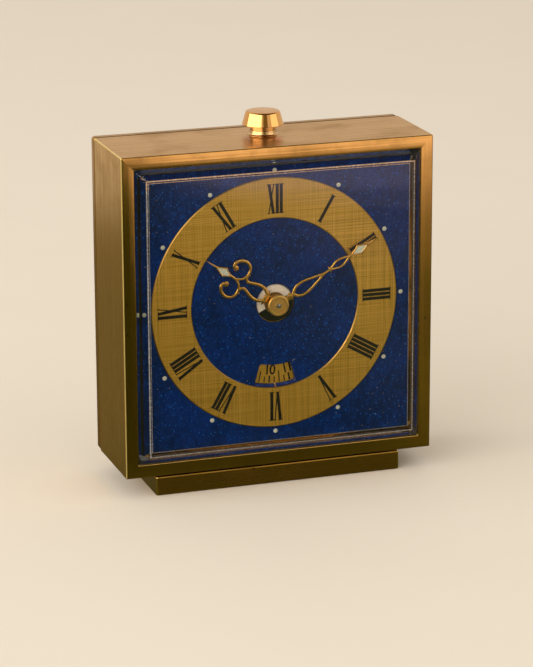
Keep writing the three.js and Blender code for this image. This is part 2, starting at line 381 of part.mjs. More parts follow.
// alarm train
springBarrel('alarm_barrel', ALARM_BARREL, 40, 8.1, tooth(ALARM_BARREL, HAMMER_WHEEL), 7.2);
add('alarm_mainspring', spiral(ALARM_BARREL, 2.3, 5.8, 3, 8, 0.45, 12.3, 15.7), STEEL, 0.3);
add('hammer_wheel', join(
  turned([[0, 9.5], [PIVOT_R, 9.5], [PIVOT_R, 10.5], [0.8, 10.5], [0.8, 20.2], [0, 20.2]], 10, HAMMER_WHEEL),
  gear(8, 1.62, 10.7, 12.0, gap(HAMMER_WHEEL, ALARM_BARREL, 8), HAMMER_WHEEL),
  prism(gearPts(10, 2.3, 0, HAMMER_WHEEL, 0.2, 0.35), 19.4, 20.0)), STEEL, 0.35);
{
  const [x, z] = HAMMER;
  const lever = [[-0.9, 0.9], [-0.9, -0.8], [-0.55, -2.0], [-1.2, -11.6], [-0.1, -11.6], [0.65, -2.0], [0.9, -0.8], [0.9, 0.9]];
  // lever and pivot end in front of the gong's wire
  add('alarm_hammer', join(prism(lever.map(([u, v]) => V(x + u, z + v)), 19.4, 19.95), rod(1.05, 19.3, 21.3, 12, [x - 0.75, z - 11.6]), rod(0.5, 18.2, 19.8, 10, HAMMER)), STEEL, 0.35);
}
{
  // round wire gong behind the back plate, on a short block
  const ring = turned(Array.from({ length: 7 }, (_, i) => [27.2 + 0.6 * Math.cos(2 * Math.PI * (i % 6) / 6), 20.6 + 0.6 * Math.sin(2 * Math.PI * (i % 6) / 6)]), 30);
  const block = prism(rect(2.0, 2.0, -19.25, 19.25), 19.05, 20.6);
  add('gong', join(ring, block), STEEL, 0.25);
}
{
  // lever under the button's stem: pressed down, it blocks the hammer
  const [x, z] = STOP_PIVOT;
  const lever = [[-9.5, -0.7], [-0.8, -1.0], [0.8, -1.0], [6.0, -0.6], [6.0, 0.4], [0.8, 1.0], [-0.8, 1.0], [-9.5, 0.5]];
  add('alarm_stop_lever', join(prism(lever.map(([u, v]) => V(x + u, z + v)), 13.4, 14.4), rod(0.5, 10.6, 18.8, 10, STOP_PIVOT)), STEEL, 0.35);
}

// ---------------------------------------------------------------- winding arbors and folding keys
function winder(prefix, p) {
  const [x, z] = p;
  const stem = join(
    turned([[0, 9.5], [0.85, 9.5], [0.85, 10.5], [1.4, 10.5], [1.4, 25.9], [2.4, 25.9], [2.4, 28.4], [1.9, 28.9], [0, 28.9]], 12, p),
    prismX(disc(8, 0.45, KEY_AXIS_Y, z), x - 4.2, x + 4.2));
  add(`${prefix}_key_stem`, stem, STEEL, 0.3);
  // D-shaped bow, folded flat below the stem
  const pts = [], c = -6.4, R = 7.2, r = 4.9;
  pts.push([-4.4, 1.3], [-4.4, -1.4]);
  for (let i = 0; i <= 14; i++) { const a = (140 + 260 * i / 14) * D2R; pts.push([R * Math.cos(a), c + R * Math.sin(a)]); }
  pts.push([4.4, -1.4], [4.4, 1.3], [2.75, 1.3], [2.75, -1.6]);
  for (let i = 0; i <= 12; i++) { const a = (396 - 252 * i / 12) * D2R; pts.push([r * Math.cos(a), c + r * Math.sin(a)]); }
  pts.push([-2.75, -1.6], [-2.75, 1.3]);
  add(`${prefix}_key_bow`, cut(prism(pts.map(([u, v]) => V(x + u, z + v)), KEY_AXIS_Y - 0.8, KEY_AXIS_Y + 0.8), prismX(disc(8, 0.55, KEY_AXIS_Y, z), x - 6, x + 6)), GILT, 0.28);
  add(`${prefix}_ratchet_wheel`, prism(gearPts(16, 4.2, 0, p, 0.3, 0.35), 19.2, 19.9, [disc(10, 1.5, x, z)]), STEEL, 0.35);
}
winder('time', TIME_BARREL);
winder('alarm', ALARM_BARREL);

// ---------------------------------------------------------------- rear cover and what comes through it
{
  const hw = CASE_W / 2, hh = CASE_H / 2;
  const shell = loft([
    { y: COVER_Y0, pts: roundRect(hw, hh, COVER_R) },
    { y: COVER_Y1 - 0.7, pts: roundRect(hw, hh, COVER_R) },
    { y: COVER_Y1 - 0.2, pts: roundRect(hw - 0.2, hh - 0.2, COVER_R - 0.2) },
    { y: COVER_Y1, pts: roundRect(hw - 0.7, hh - 0.7, COVER_R - 0.7) }]);
  const hollow = prism(rect(hw - 1.8, hh - 1.8), COVER_Y0 - 1, COVER_Y1 - 1.2);
  // pads that stand on the case's lugs
  const pads = SCREWS.map(([x, z]) => rod(2.2, CASE_D + 0.05, COVER_Y1 - 1.0, 10, [x, z]));
  const screwHoles = SCREWS.flatMap(([x, z]) => [rod(1.15, 20, 27, 10, [x, z]), loft([{ y: 24.2, pts: disc(10, 1.15, x, z) }, { y: 26.0, pts: disc(10, 2.95, x, z) }])]);
  const slot = [];
  for (let i = 0; i <= 6; i++) { const a = (REG_A - 24 + 48 * i / 6) * D2R; slot.push(V(BALANCE[0] + (REG_R + 0.85) * Math.cos(a), BALANCE[1] + (REG_R + 0.85) * Math.sin(a))); }
  for (let i = 6; i >= 0; i--) { const a = (REG_A - 24 + 48 * i / 6) * D2R; slot.push(V(BALANCE[0] + (REG_R - 0.85) * Math.cos(a), BALANCE[1] + (REG_R - 0.85) * Math.sin(a))); }
  add('rear_cover', cut(join(cut(shell, hollow), ...pads), ...screwHoles, rod(1.2, 20, 27, 12), rod(1.2, 20, 27, 12, SET_ARBOR), rod(1.9, 20, 27, 12, TIME_BARREL), rod(1.9, 20, 27, 12, ALARM_BARREL), prism(slot, 20, 27)), BRASS, 0.38);
}
SCREWS.forEach(([x, z], i) => {
  const s = turned([[0, 17.0], [1.0, 17.0], [1.0, 24.25], [2.1, 25.3], [0, 25.3]], 10, [x, z]);
  add(`cover_screw_${i + 1}`, cut(s, prism(rect(2.5, 0.22, x, z), 24.8, 26)), GILT, 0.3);
});
function knob(name, r, y0, p, n) {
  const body = prism(gearPts(n, r, 0, p, 0.12, 0.12), y0, KNOB_Y1 - 0.3);
  const top = turned([[0, KNOB_Y1 - 0.4], [r - 0.35, KNOB_Y1 - 0.4], [r - 0.75, KNOB_Y1], [0, KNOB_Y1]], 14, p);
  add(name, cut(join(body, top), rod(0.86, 20, 28.7, 12, p)), GILT, 0.3);
}
knob('time_set_knob', 4.2, 25.9, CENTRE, 18);
knob('alarm_set_knob', 3.6, 25.9, SET_ARBOR, 16);

// ---------------------------------------------------------------- alarm button, vertical on the case top
{
  const zt = CASE_H / 2;
  const prof = [[0, 26.55], [0.8, 26.55], [0.8, 28.5], [2.2, 28.5], [2.2, zt - 3.2], [BUTTON_NECK_R, zt - 3.2], [BUTTON_NECK_R, zt + BUTTON_CAP_Z], [BUTTON_CAP_R - 0.1, zt + BUTTON_CAP_Z], [BUTTON_CAP_R, zt + BUTTON_CAP_Z + 0.15], [BUTTON_TOP_R + 0.08, zt + BUTTON_TOP_Z - 0.18], [BUTTON_TOP_R - 0.12, zt + BUTTON_TOP_Z], [0, zt + BUTTON_TOP_Z]];
  const g = new THREE.LatheGeometry(prof.map(([r, y]) => V(r, y)), 20);
  g.rotateX(Math.PI / 2);
  g.translate(BUTTON_X, BUTTON_Y, 0);
  add('alarm_button', g, GILT, 0.12);
  // thin collar pressed into the case top
  const c = new THREE.LatheGeometry([[3.22, zt - WALL - 0.6], [3.36, zt - WALL - 0.6], [3.36, zt + 0.03], [3.55, zt + 0.03], [3.55, zt + 0.25], [3.22, zt + 0.25], [3.22, zt - WALL - 0.6]].map(([r, y]) => V(r, y)), 20);
  c.rotateX(Math.PI / 2);
  c.translate(BUTTON_X, BUTTON_Y, 0);
  add('button_collar', c, GILT, 0.2);
}

// ---------------------------------------------------------------- foot
{
  const zb = -CASE_H / 2 - FOOT_GAP, z0 = zb - FOOT_H, hw = FOOT_W / 2, e = 0.45;
  const prof = [[-hw + e, z0], [hw - e, z0], [hw, z0 + e], [hw, zb - e], [hw - e, zb], [-hw + e, zb], [-hw, zb - e], [-hw, z0 + e]].map(([x, z]) => V(x, z));
  const small = [[-hw + e, z0 + e], [hw - e, z0 + e], [hw - e, z0 + e + 0.01], [hw - e, zb - e - 0.01], [hw - e, zb - e], [-hw + e, zb - e], [-hw + e, zb - e - 0.01], [-hw + e, z0 + e + 0.01]].map(([x, z]) => V(x, z));
  const body = loft([{ y: FOOT_Y0, pts: small }, { y: FOOT_Y0 + e, pts: prof }, { y: FOOT_Y1 - e, pts: prof }, { y: FOOT_Y1, pts: small }]);
  // raised pad that keeps the foot off the case and shows as a shadow line
  const pad = prismZ([V(-27, FOOT_Y0 + 2.2), V(27, FOOT_Y0 + 2.2), V(27, FOOT_Y1 - 2), V(-27, FOOT_Y1 - 2)], zb - 0.5, -CASE_H / 2 - 0.03);
  const bores = FOOT_SCREWS.flatMap((x) => [prismZ(disc(12, 1.35, x, 11.5), z0 - 1, zb + 2), prismZ(disc(18, 2.9, x, 11.5), z0 - 1, z0 + 2.2)]);
  add('foot_plate', cut(join(body, pad), ...bores), BRASS, 0.34);
  FOOT_SCREWS.forEach((x, i) => {
    const g = new THREE.LatheGeometry([[0, z0 + 0.5], [2.6, z0 + 0.5], [2.6, z0 + 2.15], [1.2, z0 + 2.15], [1.2, -CASE_H / 2 + WALL + 1.5], [0, -CASE_H / 2 + WALL + 1.5]].map(([r, y]) => V(r, y)), 14);
    g.rotateX(Math.PI / 2);
    g.translate(x, 11.5, 0);
    const slot = prismZ([V(x - 3, 11.3), V(x + 3, 11.3), V(x + 3, 11.7), V(x - 3, 11.7)], z0, z0 + 1.1);
    add(i ? 'foot_screw_right' : 'foot_screw_left', cut(g, slot), GILT, 0.35);
  });
}

root.updateMatrixWorld(true);
export default root;
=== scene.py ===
import math

import bmesh
import bpy
import numpy as np
from mathutils import Matrix, Vector
from mathutils.geometry import delaunay_2d_cdt


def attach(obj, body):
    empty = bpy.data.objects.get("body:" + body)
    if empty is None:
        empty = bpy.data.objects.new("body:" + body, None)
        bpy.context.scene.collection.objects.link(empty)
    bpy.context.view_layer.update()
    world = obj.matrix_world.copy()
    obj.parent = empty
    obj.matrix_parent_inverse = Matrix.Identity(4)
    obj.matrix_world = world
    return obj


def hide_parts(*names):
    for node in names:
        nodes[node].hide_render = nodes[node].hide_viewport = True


# Looks for the travel alarm clock. All shapes below are drawn in millimetres from the dial centre in the plane of the
# case's front face (x right, y to the back, z up) and set into the row frame by W().
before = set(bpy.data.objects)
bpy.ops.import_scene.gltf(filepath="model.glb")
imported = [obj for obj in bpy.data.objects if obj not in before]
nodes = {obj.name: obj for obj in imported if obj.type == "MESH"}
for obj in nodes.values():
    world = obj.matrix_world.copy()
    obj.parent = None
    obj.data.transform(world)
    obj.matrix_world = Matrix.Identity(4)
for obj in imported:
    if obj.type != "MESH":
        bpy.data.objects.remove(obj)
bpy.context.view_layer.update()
YM, ZD = 13.75, 43.1
D2R = math.pi / 180


def W(p):
    return ((p[0]) * 1e-3, (p[1] - YM) * 1e-3, (p[2] + ZD) * 1e-3)


# ------------------------------------------------------------------ node helpers
class Mat:
    """A node material round one Principled shader. mm is the object's own coordinate in millimetres."""

    def __init__(self, name, base=(0.5, 0.5, 0.5), metal=0.0, rough=0.5, **more):
        self.m = bpy.data.materials.new(name)
        self.m.use_nodes = True
        self.t = self.m.node_tree
        self.t.nodes.clear()
        out = self.new("ShaderNodeOutputMaterial")
        self.b = self.new("ShaderNodeBsdfPrincipled")
        self.link(self.b.outputs[0], out.inputs[0])
        self.set("Base Color", (*base, 1))
        self.set("Metallic", metal)
        self.set("Roughness", rough)
        for k, v in more.items():
            self.set(k.replace("_", " "), v)
        tc = self.new("ShaderNodeTexCoord")
        self.mm = self.vmul(tc.outputs["Object"], (1000, 1000, 1000))

    def new(self, kind, **props):
        n = self.t.nodes.new(kind)
        for k, v in props.items():
            setattr(n, k, v)
        return n

    def link(self, a, b):
        self.t.links.new(a, b)

    def put(self, socket, v):
        if isinstance(v, bpy.types.NodeSocket):
            self.link(v, socket)
        else:
            socket.default_value = v

    def set(self, name, v):
        self.put(self.b.inputs[name], v)

    def vmul(self, v, s):
        n = self.new("ShaderNodeVectorMath", operation="MULTIPLY")
        self.put(n.inputs[0], v)
        self.put(n.inputs[1], s)
        return n.outputs[0]

    def vadd(self, v, s):
        n = self.new("ShaderNodeVectorMath", operation="ADD")
        self.put(n.inputs[0], v)
        self.put(n.inputs[1], s)
        return n.outputs[0]

    def xyz(self, v):
        n = self.new("ShaderNodeSeparateXYZ")
        self.put(n.inputs[0], v)
        return n.outputs

    def noise(self, vec, scale=1.0, detail=3.0, rough=0.55, dist=0.0):
        n = self.new("ShaderNodeTexNoise")
        self.put(n.inputs["Vector"], vec)
        n.inputs["Scale"].default_value = scale
        n.inputs["Detail"].default_value = detail
        n.inputs["Roughness"].default_value = rough
        n.inputs["Distortion"].default_value = dist
        return n.outputs["Fac"]

    def voronoi(self, vec, scale=1.0, rand=1.0, feature="F1"):
        n = self.new("ShaderNodeTexVoronoi", feature=feature)
        self.put(n.inputs["Vector"], vec)
        n.inputs["Scale"].default_value = scale
        n.inputs["Randomness"].default_value = rand
        return n.outputs["Distance"], n.outputs["Color"]

    def math(self, op, a, b=0.0, clamp=False):
        n = self.new("ShaderNodeMath", operation=op, use_clamp=clamp)
        self.put(n.inputs[0], a)
        self.put(n.inputs[1], b)
        return n.outputs[0]

    def step(self, v, lo, hi, to_lo=0.0, to_hi=1.0, smooth=True):
        n = self.new("ShaderNodeMapRange", interpolation_type="SMOOTHSTEP" if smooth else "LINEAR")
        self.put(n.inputs["Value"], v)
        n.inputs["From Min"].default_value = lo
        n.inputs["From Max"].default_value = hi
        n.inputs["To Min"].default_value = to_lo
        n.inputs["To Max"].default_value = to_hi
        return n.outputs["Result"]

    def mix(self, f, a, b):
        n = self.new("ShaderNodeMix", data_type="RGBA", blend_type="MIX")
        self.put(n.inputs["Factor"], f)
        ia, ib = [i for i in n.inputs if i.type == "RGBA"]
        self.put(ia, (*a, 1) if isinstance(a, tuple) else a)
        self.put(ib, (*b, 1) if isinstance(b, tuple) else b)
        return [o for o in n.outputs if o.type == "RGBA"][0]

    def scale_colour(self, c, f):
        n = self.new("ShaderNodeMix", data_type="RGBA", blend_type="MULTIPLY")
        n.inputs["Factor"].default_value = 1.0
        ia, ib = [i for i in n.inputs if i.type == "RGBA"]
        self.put(ia, c)
        self.put(ib, f)
        return [o for o in n.outputs if o.type == "RGBA"][0]

    def bump(self, h, strength, distance, normal=None):
        n = self.new("ShaderNodeBump")
        n.inputs["Strength"].default_value = strength
        n.inputs["Distance"].default_value = distance
        self.put(n.inputs["Height"], h)
        if normal is not None:
            self.link(normal, n.inputs["Normal"])
        return n.outputs[0]

    def tangent(self, v):
        n = self.new("ShaderNodeCombineXYZ")
        for i in range(3):
            n.inputs[i].default_value = v[i]
        self.link(n.outputs[0], self.b.inputs["Tangent"])


def brushed(name, along, light, dark, rough=0.3, aniso=0.0, across=None, patina=0.35, patina_colour=(0.16, 0.095, 0.03), grain=1.0, spots=True):
    """Satin brushed metal: fine grain that runs along one axis, slow patina, worn and darker spots."""
    m = Mat(name, light, 1.0, rough)
    s = [7.0, 7.0, 7.0]
    s["xyz".index(along)] = 0.05
    g1 = m.noise(m.vmul(m.mm, tuple(s)), 1.0, 4.0, 0.65)
    s2 = [2.2, 2.2, 2.2]
    s2["xyz".index(along)] = 0.014
    g2 = m.noise(m.vadd(m.vmul(m.mm, tuple(s2)), (17.3, 4.1, 9.7)), 1.0, 3.0, 0.6)
    blot = m.noise(m.vadd(m.mm, (5.0, 31.0, 11.0)), 0.085, 4.0, 0.6)
    grain_f = m.math("ADD", m.math("MULTIPLY", g1, 0.55), m.math("MULTIPLY", g2, 0.45))
    c = m.mix(m.step(grain_f, 0.36, 0.64), dark, light)
    c = m.mix(m.math("MULTIPLY", m.step(blot, 0.42, 0.72), patina), c, patina_colour)
    if spots:
        d, col = m.voronoi(m.vadd(m.mm, (3.0, 7.0, 1.0)), 0.33)
        pick = m.step(m.xyz(col)[0], 0.80, 0.86)
        dot = m.math("MULTIPLY", m.step(d, 0.16, 0.07), pick)
        c = m.mix(m.math("MULTIPLY", dot, 0.55), c, (0.09, 0.05, 0.02))
    m.set("Base Color", c)
    m.set("Roughness", m.math("ADD", m.step(grain_f, 0.3, 0.7, rough + 0.07, rough - 0.05), m.math("MULTIPLY", m.step(blot, 0.45, 0.7), 0.08)))
    m.set("Normal", m.bump(grain_f, 0.32 * grain, 0.00002))
    if aniso:
        m.set("Anisotropic", aniso)
        m.tangent(across)
    return m.m


def polished(name, colour, rough=0.12, worn=(0.55, 0.33, 0.12), scratch=0.06, turn=None):
    """Polished metal with hairline marks and a slightly uneven lacquer. turn: centre (x, y, z) of fine turning marks."""
    m = Mat(name, colour, 1.0, rough)
    n1 = m.noise(m.mm, 0.5, 4.0, 0.6)
    n2 = m.noise(m.vmul(m.mm, (9.0, 1.2, 3.5)), 1.0, 3.0, 0.7)
    m.set("Base Color", m.mix(m.step(n1, 0.42, 0.78, 0.0, 0.45), colour, worn))
    m.set("Roughness", m.math("ADD", m.step(n1, 0.35, 0.75, rough - 0.03, rough + 0.07), m.math("MULTIPLY", m.step(n2, 0.62, 0.7), 0.08)))
    h = n2
    if turn is not None:
        n = m.new("ShaderNodeVectorMath", operation="DISTANCE")
        m.put(n.inputs[0], m.mm)
        n.inputs[1].default_value = turn
        s = m.math("SINE", m.math("MULTIPLY", n.outputs["Value"], 26.0))
        h = m.math("ADD", m.math("MULTIPLY", s, 0.25), n2)
    m.set("Normal", m.bump(h, scratch * 4, 0.000008))
    return m.m


# ------------------------------------------------------------------ mesh helpers
def build(name, verts, faces, mat, body, slot=None, replaces=(), sharp=33.0, weighted=True, face_mat=None, cutters=(), merge=True):
    me = bpy.data.meshes.new(name)
    me.from_pydata([W(v) for v in verts], [], faces)
    mats = mat if isinstance(mat, (list, tuple)) else [mat]
    for x in mats:
        me.materials.append(x)
    if face_mat is not None:
        me.polygons.foreach_set("material_index", face_mat)
    bm = bmesh.new()
    bm.from_mesh(me)
    if merge:
        bmesh.ops.remove_doubles(bm, verts=bm.verts, dist=2e-6)
    bmesh.ops.dissolve_degenerate(bm, edges=bm.edges, dist=1e-7)
    bmesh.ops.recalc_face_normals(bm, faces=bm.faces)
    bm.to_mesh(me)
    bm.free()
    o = bpy.data.objects.new(name, me)
    bpy.context.scene.collection.objects.link(o)
    if cutters:
        for c in cutters:
            mod = o.modifiers.new("cut", "BOOLEAN")
            mod.operation, mod.solver, mod.object = "DIFFERENCE", "EXACT", c
        bpy.context.view_layer.update()
        done = bpy.data.meshes.new_from_object(o.evaluated_get(bpy.context.evaluated_depsgraph_get()))
        o.modifiers.clear()
        o.data = done
        done.name = name
        for c in cutters:
            bpy.data.objects.remove(c)
    me = o.data
    me.polygons.foreach_set("use_smooth", [True] * len(me.polygons))
    me.set_sharp_from_angle(angle=math.radians(sharp))
    if weighted:
        mod = o.modifiers.new("weighted", "WEIGHTED_NORMAL")
        mod.keep_sharp = True
    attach(o, body)
    if replaces:
        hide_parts(*replaces)
    return o


def tool(verts, faces):
    """A solid used only to cut with."""
    me = bpy.data.meshes.new("tool")
    me.from_pydata([W(v) for v in verts], [], faces)
    bm = bmesh.new()
    bm.from_mesh(me)
    bmesh.ops.remove_doubles(bm, verts=bm.verts, dist=2e-6)
    bmesh.ops.recalc_face_normals(bm, faces=bm.faces)
    bm.to_mesh(me)
    bm.free()
    o = bpy.data.objects.new("tool", me)
    bpy.context.scene.collection.objects.link(o)
    return o


def rr(hw, hh, r, n=3, cx=0.0, cz=0.0):
    r = max(r, 0.02)
    out = []
    for x, z, a0 in ((hw - r, hh - r, 0), (-hw + r, hh - r, 90), (-hw + r, -hh + r, 180), (hw - r, -hh + r, 270)):
        for i in range(n + 1):
            a = (a0 + 90 * i / n) * D2R
            out.append((cx + x + r * math.cos(a), cz + z + r * math.sin(a)))
    return out


def loft(levels, closed=False, axis="y"):
    """levels: [(height, outline)], outlines of equal count. Returns verts and faces; capped at both ends unless closed."""
    k = len(levels[0][1])
    verts, faces = [], []
    for h, pts in levels:
        for a, b in pts:
            verts.append((a, h, b) if axis == "y" else ((a, b, h) if axis == "z" else (h, a, b)))
    L = len(levels)
    for s in range(L if closed else L - 1):
        t = (s + 1) % L
        for i in range(k):
            j = (i + 1) % k
            faces.append((s * k + i, s * k + j, t * k + j, t * k + i))
    if not closed:
        faces.append(tuple(range(k)))
        faces.append(tuple((L - 1) * k + i for i in range(k)))
    return verts, faces


def lathe(prof, n=64, axis="y", c=(0.0, 0.0), closed=False):
    """Turned solid. prof: [(radius, height)]. c is (x, z) for axis y, or (x, y) for axis z."""
    verts, faces, rings = [], [], []

    def pt(u, v, h):
        return (c[0] + u, h, c[1] + v) if axis == "y" else (c[0] + u, c[1] + v, h)

    for r, h in prof:
        if r < 1e-6:
            rings.append([len(verts)])
            verts.append(pt(0, 0, h))
        else:
            rings.append(list(range(len(verts), len(verts) + n)))
            for i in range(n):
                a = 2 * math.pi * i / n
                verts.append(pt(r * math.cos(a), r * math.sin(a), h))
    pairs = list(zip(rings, rings[1:])) + ([(rings[-1], rings[0])] if closed else [])
    for a, b in pairs:
        for i in range(n):
            j = (i + 1) % n
            if len(a) == 1 and len(b) == 1:
                break
            if len(a) == 1:
                faces.append((a[0], b[i], b[j]))
            elif len(b) == 1:
                faces.append((a[i], a[j], b[0]))
            else:
                faces.append((a[i], a[j], b[j], b[i]))
    return verts, faces


def soften(prof, radii, n=3, closed=False):
    """Rounds the corners of a profile: radii maps an index to a radius, or is one radius for all inner corners."""
    out, L = [], len(prof)
    for i, p in enumerate(prof):
        r = radii.get(i, 0) if isinstance(radii, dict) else radii
        if r <= 0 or (not closed and i in (0, L - 1)):
            out.append(p)
            continue
        a, b = Vector(prof[i - 1]), Vector(prof[(i + 1) % L])
        v = Vector(p)
        da, db = a - v, b - v
        if da.length < 1e-9 or db.length < 1e-9:
            out.append(p)
            continue
        ang = da.angle(db)
        if ang > math.pi - 0.05:
            out.append(p)
            continue
        t = min(r / math.tan(ang / 2), 0.45 * da.length, 0.45 * db.length)
        s, e = v + da.normalized() * t, v + db.normalized() * t
        for k in range(n + 1):
            f = k / n
            q = s * (1 - f) ** 2 + v * 2 * f * (1 - f) + e * f * f
            out.append((q.x, q.y))
    return out


def join_parts(*parts):
    verts, faces = [], []
    for v, f in parts:
        k = len(verts)
        verts += list(v)
        faces += [tuple(i + k for i in q) for q in f]
    return verts, faces


def region(polys, holes=()):
    """Union of flat outlines less the holes, as one triangulation."""
    vs, fs = [], []
    for p in list(polys) + list(holes):
        area = sum(p[i - 1][0] * p[i][1] - p[i][0] * p[i - 1][1] for i in range(len(p)))
        q = list(p) if area > 0 else list(reversed(p))
        fs.append(list(range(len(vs), len(vs) + len(q))))
        vs += [Vector(x) for x in q]
    co, _, tris, _, _, orig = delaunay_2d_cdt(vs, [], fs, 1, 1e-5)
    np_ = len(list(polys))
    keep = [t for t, o in zip(tris, orig) if any(i < np_ for i in o) and not any(i >= np_ for i in o)]
    return [(p.x, p.y) for p in co], keep


def slab(flat, y0, y1):
    """Extrudes a triangulated region between y0 and y1."""
    co, tris = flat
    used = sorted({i for t in tris for i in t})
    ix = {v: k for k, v in enumerate(used)}
    n = len(used)
    verts = [(co[v][0], y0, co[v][1]) for v in used] + [(co[v][0], y1, co[v][1]) for v in used]
    faces = [tuple(ix[i] for i in t) for t in tris] + [tuple(n + ix[i] for i in reversed(t)) for t in tris]
    edges = {}
    for t in tris:
        for a, b in zip(t, t[1:] + t[:1]):
            edges.setdefault(frozenset((a, b)), []).append((a, b))
    for e in edges.values():
        if len(e) == 1:
            a, b = e[0]
            faces.append((ix[a], ix[b], n + ix[b], n + ix[a]))
    return verts, faces


def ring_pts(r, n, x=0.0, z=0.0, a0=0.0, a1=360.0, ends=False):
    m = n if not ends else n + 1
    return [(x + r * math.cos((a0 + (a1 - a0) * i / n) * D2R), z + r * math.sin((a0 + (a1 - a0) * i / n) * D2R)) for i in range(m)]


def clockpt(deg, u, v):
    """A point u outward and v across (to the right when the mark is upright at twelve) for a clock angle."""
    a = deg * D2R
    return (u * math.sin(a) + v * math.cos(a), u * math.cos(a) - v * math.sin(a))


# signed distances on a grid, for fretted and rounded flat pieces
def seg_dist(X, Y, p, q):
    px, py = p
    dx, dy = q[0] - px, q[1] - py
    L2 = max(dx * dx + dy * dy, 1e-12)
    t = np.clip(((X - px) * dx + (Y - py) * dy) / L2, 0, 1)
    return np.hypot(X - px - t * dx, Y - py - t * dy), t


def sd_stroke(X, Y, pts, w0, w1):
    L = [0.0]
    for a, b in zip(pts, pts[1:]):
        L.append(L[-1] + math.dist(a, b))
    d = np.full(X.shape, 1e3)
    for k in range(len(pts) - 1):
        dd, t = seg_dist(X, Y, pts[k], pts[k + 1])
        w = w0 + (w1 - w0) * (L[k] + t * (L[k + 1] - L[k])) / L[-1]
        d = np.minimum(d, dd - w / 2)
    return d


def sd_poly(X, Y, pts):
    d = np.full(X.shape, 1e3)
    inside = np.zeros(X.shape, bool)
    n = len(pts)
    for i in range(n):
        p, q = pts[i], pts[(i + 1) % n]
        d = np.minimum(d, seg_dist(X, Y, p, q)[0])
        cond = ((p[1] > Y) != (q[1] > Y)) & (X < (q[0] - p[0]) * (Y - p[1]) / ((q[1] - p[1]) if abs(q[1] - p[1]) > 1e-12 else 1e-12) + p[0])
        inside ^= cond
    return np.where(inside, -d, d)


def sd_disc(X, Y, c, r):
    return np.hypot(X - c[0], Y - c[1]) - r


def sunion(*ds, k=0.06):
    out = ds[0]
    for d in ds[1:]:
        h = np.clip(0.5 + 0.5 * (out - d) / k, 0, 1)
        out = out * (1 - h) + d * h - k * h * (1 - h)
    return out


def contours(F, x0, y0, s, level):
    """Closed lines where F equals level, on a grid with origin (x0, y0) and step s. F is indexed [row y, column x]."""
    G = F - level
    G = np.where(np.abs(G) < 1e-9, 1e-9, G)
    ins = G < 0
    H, Wd = G.shape
    segs = {}

    def xpt(i, j):  # crossing on the edge (i,j)-(i,j+1)
        t = G[i, j] / (G[i, j] - G[i, j + 1])
        return (x0 + (j + t) * s, y0 + i * s)

    def ypt(i, j):
        t = G[i, j] / (G[i, j] - G[i + 1, j])
        return (x0 + j * s, y0 + (i + t) * s)

    cells = np.argwhere((ins[:-1, :-1] != ins[:-1, 1:]) | (ins[:-1, :-1] != ins[1:, :-1]) | (ins[:-1, :-1] != ins[1:, 1:]))
    pt = {}
    for i, j in cells:
        a, b, c, d = ins[i, j], ins[i, j + 1], ins[i + 1, j + 1], ins[i + 1, j]
        e = []
        if a != b:
            e.append(("x", i, j))
        if b != c:
            e.append(("y", i, j + 1))
        if d != c:
            e.append(("x", i + 1, j))
        if a != d:
            e.append(("y", i, j))
        for k in e:
            if k not in pt:
                pt[k] = xpt(k[1], k[2]) if k[0] == "x" else ypt(k[1], k[2])
        pairs = [(e[0], e[1])] if len(e) == 2 else [(e[0], e[1]), (e[2], e[3])] if a else [(e[0], e[3]), (e[1], e[2])]
        for p, q in pairs:
            segs.setdefault(p, []).append(q)
            segs.setdefault(q, []).append(p)
    loops, seen = [], set()
    for start in segs:
        if start in seen:
            continue
        loop, prev, cur = [], None, start
        while cur not in seen:
            seen.add(cur)
            loop.append(pt[cur])
            nxt = [q for q in segs[cur] if q != prev and q not in seen]
            if not nxt:
                break
            prev, cur = cur, nxt[0]
        if len(loop) > 8:
            loops.append(loop)
    return loops


def thin_out(loop, tol):
    """Drops points of a closed line that lie within tol of it."""
    P = np.array(loop)
    n = len(P)
    far = int(np.argmax(np.hypot(*(P - P[0]).T)))

    def dp(i, j):
        if j - i < 2:
            return []
        a, b = P[i], P[j % n]
        mid = P[np.arange(i + 1, j) % n]
        ab = b - a
        L = max(np.hypot(*ab), 1e-9)
        d = np.abs(ab[0] * (mid[:, 1] - a[1]) - ab[1] * (mid[:, 0] - a[0])) / L
        k = int(np.argmax(d))
        if d[k] <= tol:
            return []
        m = i + 1 + k
        return dp(i, m) + [m] + dp(m, j)

    keep = [0] + dp(0, far) + [far] + dp(far, n)
    return [tuple(P[i % n]) for i in keep]


